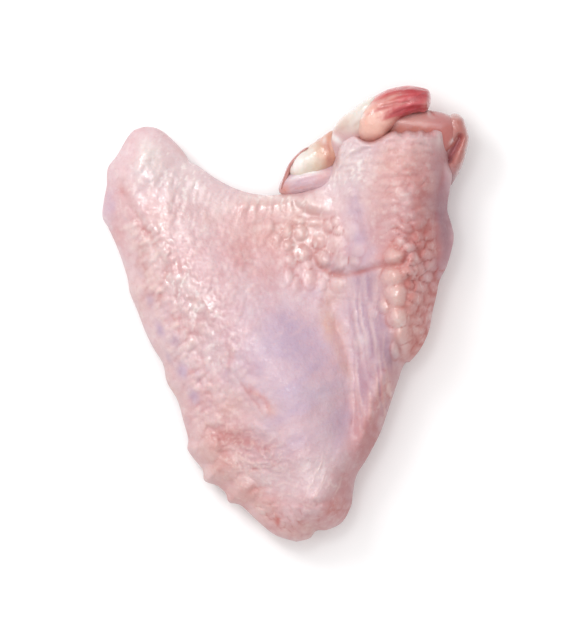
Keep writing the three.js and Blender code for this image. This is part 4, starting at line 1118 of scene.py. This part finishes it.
class WING_OT_muscles(bpy.types.Operator):
    """Build the red muscle, the pale slab, the flank's flap and the lower slip."""

    bl_idname = "wing.muscles"
    bl_label = "Muscles at the shoulder"

    def execute(self, context):
        """Adds the four lobes, each with its own looks and dents."""
        p = context.scene.wing_colours
        red = meat_material("red_muscle_meat", p, (p.red_meat, p.red_light), p.red_meat, p.film)
        pale = meat_material("pale_muscle_meat", p, (p.pale_meat, p.pale_light), p.pale_light, p.pale_warm_and_shade)
        flap = meat_material("flap_meat", p, (p.flap_meat, p.pale_meat), p.pale_meat, p.flap_dusky)
        lilac_shades = (p.lilac_meat, p.lilac_light)
        slip = meat_material("lilac_muscle_meat", p, lilac_shades, p.lilac_light, p.slip_corner)

        # the crevice between the slab and the flap
        crevice = [(74.2, 75.8), (72.8, 72.8), (71.2, 69.2), (69.4, 65.8), (68.2, 62.8)]

        def red_looks(x, y):
            """A film left of a streaked slanting border, pink patches, grooves where deep patches meet
            streaks and along the lower edge, and shine at the left and on top."""
            streaks = layered((0.92 * x + 0.39 * y) / 9, (0.92 * y - 0.39 * x) / 1.5, 51)
            film = 1 - smooth(0.72 * (x - 37.5) + 0.7 * (y - 80.5) + 14 * (streaks - 0.5), -1, 11)
            pink_rows = [(44, 89, 6, 2.6, 20, 1.0), (59, 87.2, 1.8, 2.4, 0, 0.5), (48, 87.4, 7, 0.9, 14, 0.5)]
            deep_rows = [
                (54, 90, 5, 2.4, 20, 0.8), (57, 92.6, 3.2, 1.8, -25, 0.9), (50, 93.2, 4, 1, 5, 0.6),
                (51.5, 85, 7, 1.6, 12, 0.9), (55.8, 84.2, 1.8, 1, -30, 1.0), (41, 85.6, 4, 0.8, 15, 0.4),
            ]
            shine_rows = [
                (33, 84.6, 4, 1.2, 52, 0.7), (31.4, 80.6, 1.4, 3, -15, 0.6), (38.6, 88, 3, 0.7, 25, 0.5),
            ]
            pink, deep, shine = (patches(rows, x, y) for rows in (pink_rows, deep_rows, shine_rows))
            lower_edge = groove_along([(31.5, 76), (33, 72.9), (37, 72.8), (40.4, 74.4)], x, y, 0.8)
            covered = 1 - (1 - film) * (1 - 0.6 * pink * streaks * 1.6)
            grooves = deep * smooth(streaks, 0.25, 0.5) * (1 - 0.8 * film) + 0.35 * lower_edge
            return covered, 0.7 * grooves, shine * smooth(streaks, 0.4, 0.6)

        def red_dent(x, y):
            """Three grooves of 0.7 mm."""
            lines = (
                [(44, 82.6), (50, 85.4), (57, 86.6)],
                [(39, 88.6), (46, 91.6), (54, 92.4)],
                [(38, 85.6), (46, 87.6), (53, 88)],
            )
            return sum(0.7 * groove_along(line, x, y, 0.8) for line in lines)

        def slab_looks(x, y):
            """Warm below a wavy border, partly the meat's own warm tone and partly painted shade under the
            skin's edge, redder to the right, and painted highlights along the crevice and at two specks."""
            # warm band: partly the meat's own warm tone, partly painted shade under the skin's edge
            warm = 0.8 * (1 - smooth(y + 0.6 * np.sin(x) - 0.3 * np.maximum(x - 66, 0), 76.8, 79.4))
            # painted highlights: a bright line along the crevice and two bright specks
            rim = groove_along([(68.4, 70.6), (71.2, 73.6), (73.2, 76.6), (74.6, 79.4)], x, y, 0.6)
            bead = patches([(41.6, 75.4, 1.0, 1.4, 0, 0.8), (43.4, 78.4, 2.6, 0.5, 50, 0.4)], x, y)
            return warm, 0.4 * smooth(x, 56, 65), np.maximum(0.55 * rim, bead)

        def slab_dent(x, y):
            """1.2 mm beside the skin, and a short groove of 0.9 mm."""
            groove = groove_along([(60, 86), (61.5, 83), (64, 81.5)], x, y, 1.0)
            return 1.2 * (1 - smooth(y, 74.5, 81)) + 0.9 * groove

        def flap_looks(x, y):
            """Dusky beside the skin and on the wall of the crevice, dark red in it, partly the meat's own red
            and partly painted shade, and shining at the top."""
            wx, wy = warp(x, y, 4, 1.0, 58)
            # dark red in the crevice: partly the meat's own red, partly painted shade
            streak = groove_along(crevice, wx, wy, 1.0 + 0.5 * np.exp(-(((wy - 70) / 2.5) ** 2)))
            wall = 0.8 * (1 - smooth(x - 0.5 * (y - 66), 69.5, 71.5))
            wall = wall * smooth(y, 60, 64) * (1 - smooth(y, 70, 74))
            return np.maximum(wall, 1 - smooth(y, 56, 65)), 0.65 * streak, 0.2 * smooth(y, 80, 82.5)

        def flap_dent(x, y):
            """The crevice, 3.5 mm deep."""
            return 3.5 * groove_along(crevice, x, y, 1.5)

        def slip_looks(x, y):
            """A warm corner as a bell curve of the distance to it, pink patches, and a painted highlight
            along the top.
            """
            corner = np.exp(-((np.hypot(x + 0.2, y - 52) / 2.6) ** 2))
            pink = patches([(16, 58, 4, 3, 30, 0.45), (7, 53, 3.4, 0.7, 8, 0.5)], x, y)
            # painted highlight: a white line along the top
            top_highlight = patches([(10.8, 59.3, 4.6, 1.0, 8, 1.0), (5, 57.6, 3, 0.7, 25, 0.6)], x, y)
            return np.maximum(corner, pink), 0.15 * corner, top_highlight

        add_lobe(
            "red_muscle_head", RED_MUSCLE, "red_muscle", "red_meat", red,
            strands(30, 0.4, 1.0, 53, 0.3), red_looks, red_dent,
        )
        add_lobe(
            "pale_muscle_slab", PALE_MUSCLE, "pale_muscle", "pale_meat", pale,
            strands(9, 0.12, 0.9, 57), slab_looks, slab_dent,
        )
        add_lobe(
            "flank_muscle_flap", FLANK_FLAP, "flank_flap", "pale_meat", flap,
            strands(9, 0.2, 0.9, 63), flap_looks, flap_dent,
        )
        add_lobe(
            "lower_muscle_slip", LOWER_SLIP, "lower_slip", "lilac_meat", slip,
            strands(24, 0.3, 0.6, 67), slip_looks,
        )
        return {"FINISHED"}


class WING_OT_gristle(bpy.types.Operator):
    """Build the gristle, the whitish sheath and the edge of the joint's capsule."""

    bl_idname = "wing.gristle"
    bl_label = "Gristle and sheath"

    def execute(self, context):
        """Adds the three lobes, each with its own looks."""
        p = context.scene.wing_colours
        white = p.gristle_white
        ivory = meat_material("ivory_gristle", p, (p.gristle, white), white, p.gristle_warm, 1.0)
        milky = meat_material("milky_sheath", p, (p.sheath, white), p.sheath, p.sheath_inner, 1.0)
        brown = meat_material("capsule_edge", p, (p.capsule, p.raw_pink), p.capsule, p.pale)

        def gristle_looks(x, y):
            """Warm right of a slanting uneven border, two hollows of painted shade, and three white glassy
            patches, partly the gristle's own white and partly painted highlight.
            """
            warm = smooth(x + 0.4 * (y - 66) + 3 * (layered(x / 3, y / 3, 69) - 0.5), 11, 19)
            # painted shade: two hollows that the gristle's shape does not have
            hollow = patches([(17.6, 70.4, 1.4, 2.4, 20, 0.35), (18.8, 64.6, 1.2, 1.6, 0, 0.35)], x, y)
            # white glassy patches: partly the gristle's own white, partly painted highlight
            glassy = [
                (5, 63, 5, 2.2, 55, 0.9), (10.5, 67.5, 3.4, 1.2, 45, 0.3), (16.6, 72.6, 1, 1.6, -20, 0.5),
            ]
            return warm, hollow, patches(glassy, x, y)

        def sheath_looks(x, y):
            """Pinker below a wavy border, two reddish patches, and white along the outer edge and in streaks,
            partly the sheath's own white and partly painted highlight."""
            wx, wy = warp(x, y, 5, 2, 68)
            inner = 0.9 * (1 - smooth(wy, 73.5, 79.5))
            peach = patches([(25.4, 78.4, 5, 1.5, 12, 0.2), (30, 82, 3, 1, 50, 0.1)], wx, wy)
            outer = groove_along([(15, 73), (20, 79), (25, 82.8), (31, 88), (38, 92)], x, y, 1.8)
            # white streaks: partly the sheath's own white, partly painted highlight; the one at (21.6, 73.2)
            # is the painted highlight on the fold of skin
            streaks = [
                (31.5, 83.4, 5, 1.2, 52, 0.6), (28, 83.6, 3, 0.7, 48, 0.4), (21.6, 73.2, 3, 1.4, -38, 1.0),
            ]
            return inner, peach, np.maximum(0.45 * outer, 0.9 * patches(streaks, x, y))

        def capsule_looks(x, y):
            """The same all over: no film, slightly red, no shine."""
            return 0.0, 0.12, 0.0

        add_lobe(
            "shoulder_gristle_knob", GRISTLE, "shoulder_gristle", "gristle", ivory,
            strands(7, 0.2, 1.0, 71), gristle_looks,
        )
        add_lobe(
            "milky_sheath_band", SHEATH, "shoulder_sheath", "sheath", milky,
            strands(12, 0.25, 0.8, 73), sheath_looks,
        )
        add_lobe(
            "capsule_rim", CAPSULE, "joint_capsule", "capsule", brown,
            strands(5, 0.1, 0.2, 75), capsule_looks, rings=100, sides=40,
        )
        return {"FINISHED"}


def point_at(thing, place, target):
    """Stands a light at a place and turns it to shine at a target."""
    thing.location = place
    thing.rotation_euler = (Vector(target) - Vector(place)).to_track_quat("-Z", "Y").to_euler()


class WING_OT_stage(bpy.types.Operator):
    """Build the plain floor, the soft lights and the camera straight above."""

    bl_idname = "wing.stage"
    bl_label = "Stage"

    def execute(self, context):
        """Adds the floor, the lights, the sky and the camera, whose focal length is the sensor's width times
        its distance over the picture's size."""
        p = context.scene.wing_stage
        scene = context.scene
        bpy.ops.mesh.primitive_plane_add(size=FLOOR_SIZE, location=(0, 0, -FLOOR_DROP))
        floor = context.object
        floor.name = "floor"
        paint = Graph("plain_floor")
        paint.put(paint.shader.inputs["Base Color"], (*p.floor, 1))
        paint.put(paint.shader.inputs["Roughness"], 0.9)
        floor.data.materials.append(paint.material)

        for name, place, size, power in LIGHTS:
            light = bpy.data.lights.new(name, "AREA")
            light.shape = "DISK"
            light.size = size
            light.energy = getattr(p, power)
            lamp = bpy.data.objects.new(name, light)
            scene.collection.objects.link(lamp)
            point_at(lamp, place, LIGHT_TARGET)
            lamp.visible_camera = False

        world = bpy.data.worlds.new("studio")
        world.use_nodes = True
        sky = world.node_tree.nodes["Background"]
        sky.inputs["Color"].default_value = (1, 1, 1, 1)
        sky.inputs["Strength"].default_value = p.sky
        scene.world = world
        scene.view_settings.view_transform = "Standard"

        lens = bpy.data.cameras.new("camera")
        lens.sensor_width = SENSOR_WIDTH
        lens.lens = SENSOR_WIDTH * (p.camera_height - MEAN_HEIGHT) / p.frame_height
        lens.clip_end = CAMERA_REACH
        camera = bpy.data.objects.new("camera", lens)
        scene.collection.objects.link(camera)
        camera.location = (CAMERA_X, CAMERA_Y, p.camera_height)
        scene.camera = camera
        return {"FINISHED"}


class WING_PT_panel(bpy.types.Panel):
    """Buttons that build the pieces of the wing, and what a user may change."""

    bl_idname = "WING_PT_panel"
    bl_label = "Raw turkey wing"
    bl_space_type = "VIEW_3D"
    bl_region_type = "UI"
    bl_category = "Wing"

    def draw(self, context):
        """A button for each operator, then a field for each setting."""
        for operator in (WING_OT_skin, WING_OT_muscles, WING_OT_gristle, WING_OT_stage):
            self.layout.operator(operator.bl_idname)
        for group in (context.scene.wing_colours, context.scene.wing_stage):
            for name in group.__annotations__:
                self.layout.prop(group, name)


CLASSES = (
    WING_PG_colours, WING_PG_stage,
    WING_OT_skin, WING_OT_muscles, WING_OT_gristle, WING_OT_stage,
    WING_PT_panel,
)


def register():
    """Registers the classes and hangs both groups of settings on the scene."""
    for item in CLASSES:
        bpy.utils.register_class(item)
    bpy.types.Scene.wing_colours = PointerProperty(type=WING_PG_colours)
    bpy.types.Scene.wing_stage = PointerProperty(type=WING_PG_stage)


def unregister():
    """Takes the settings off the scene and the classes out, in reverse."""
    del bpy.types.Scene.wing_stage
    del bpy.types.Scene.wing_colours
    for item in reversed(CLASSES):
        bpy.utils.unregister_class(item)


def main():
    register()
    bpy.ops.wing.skin()
    bpy.ops.wing.muscles()
    bpy.ops.wing.gristle()
    bpy.ops.wing.stage()


if __name__ == "__main__":
    main()
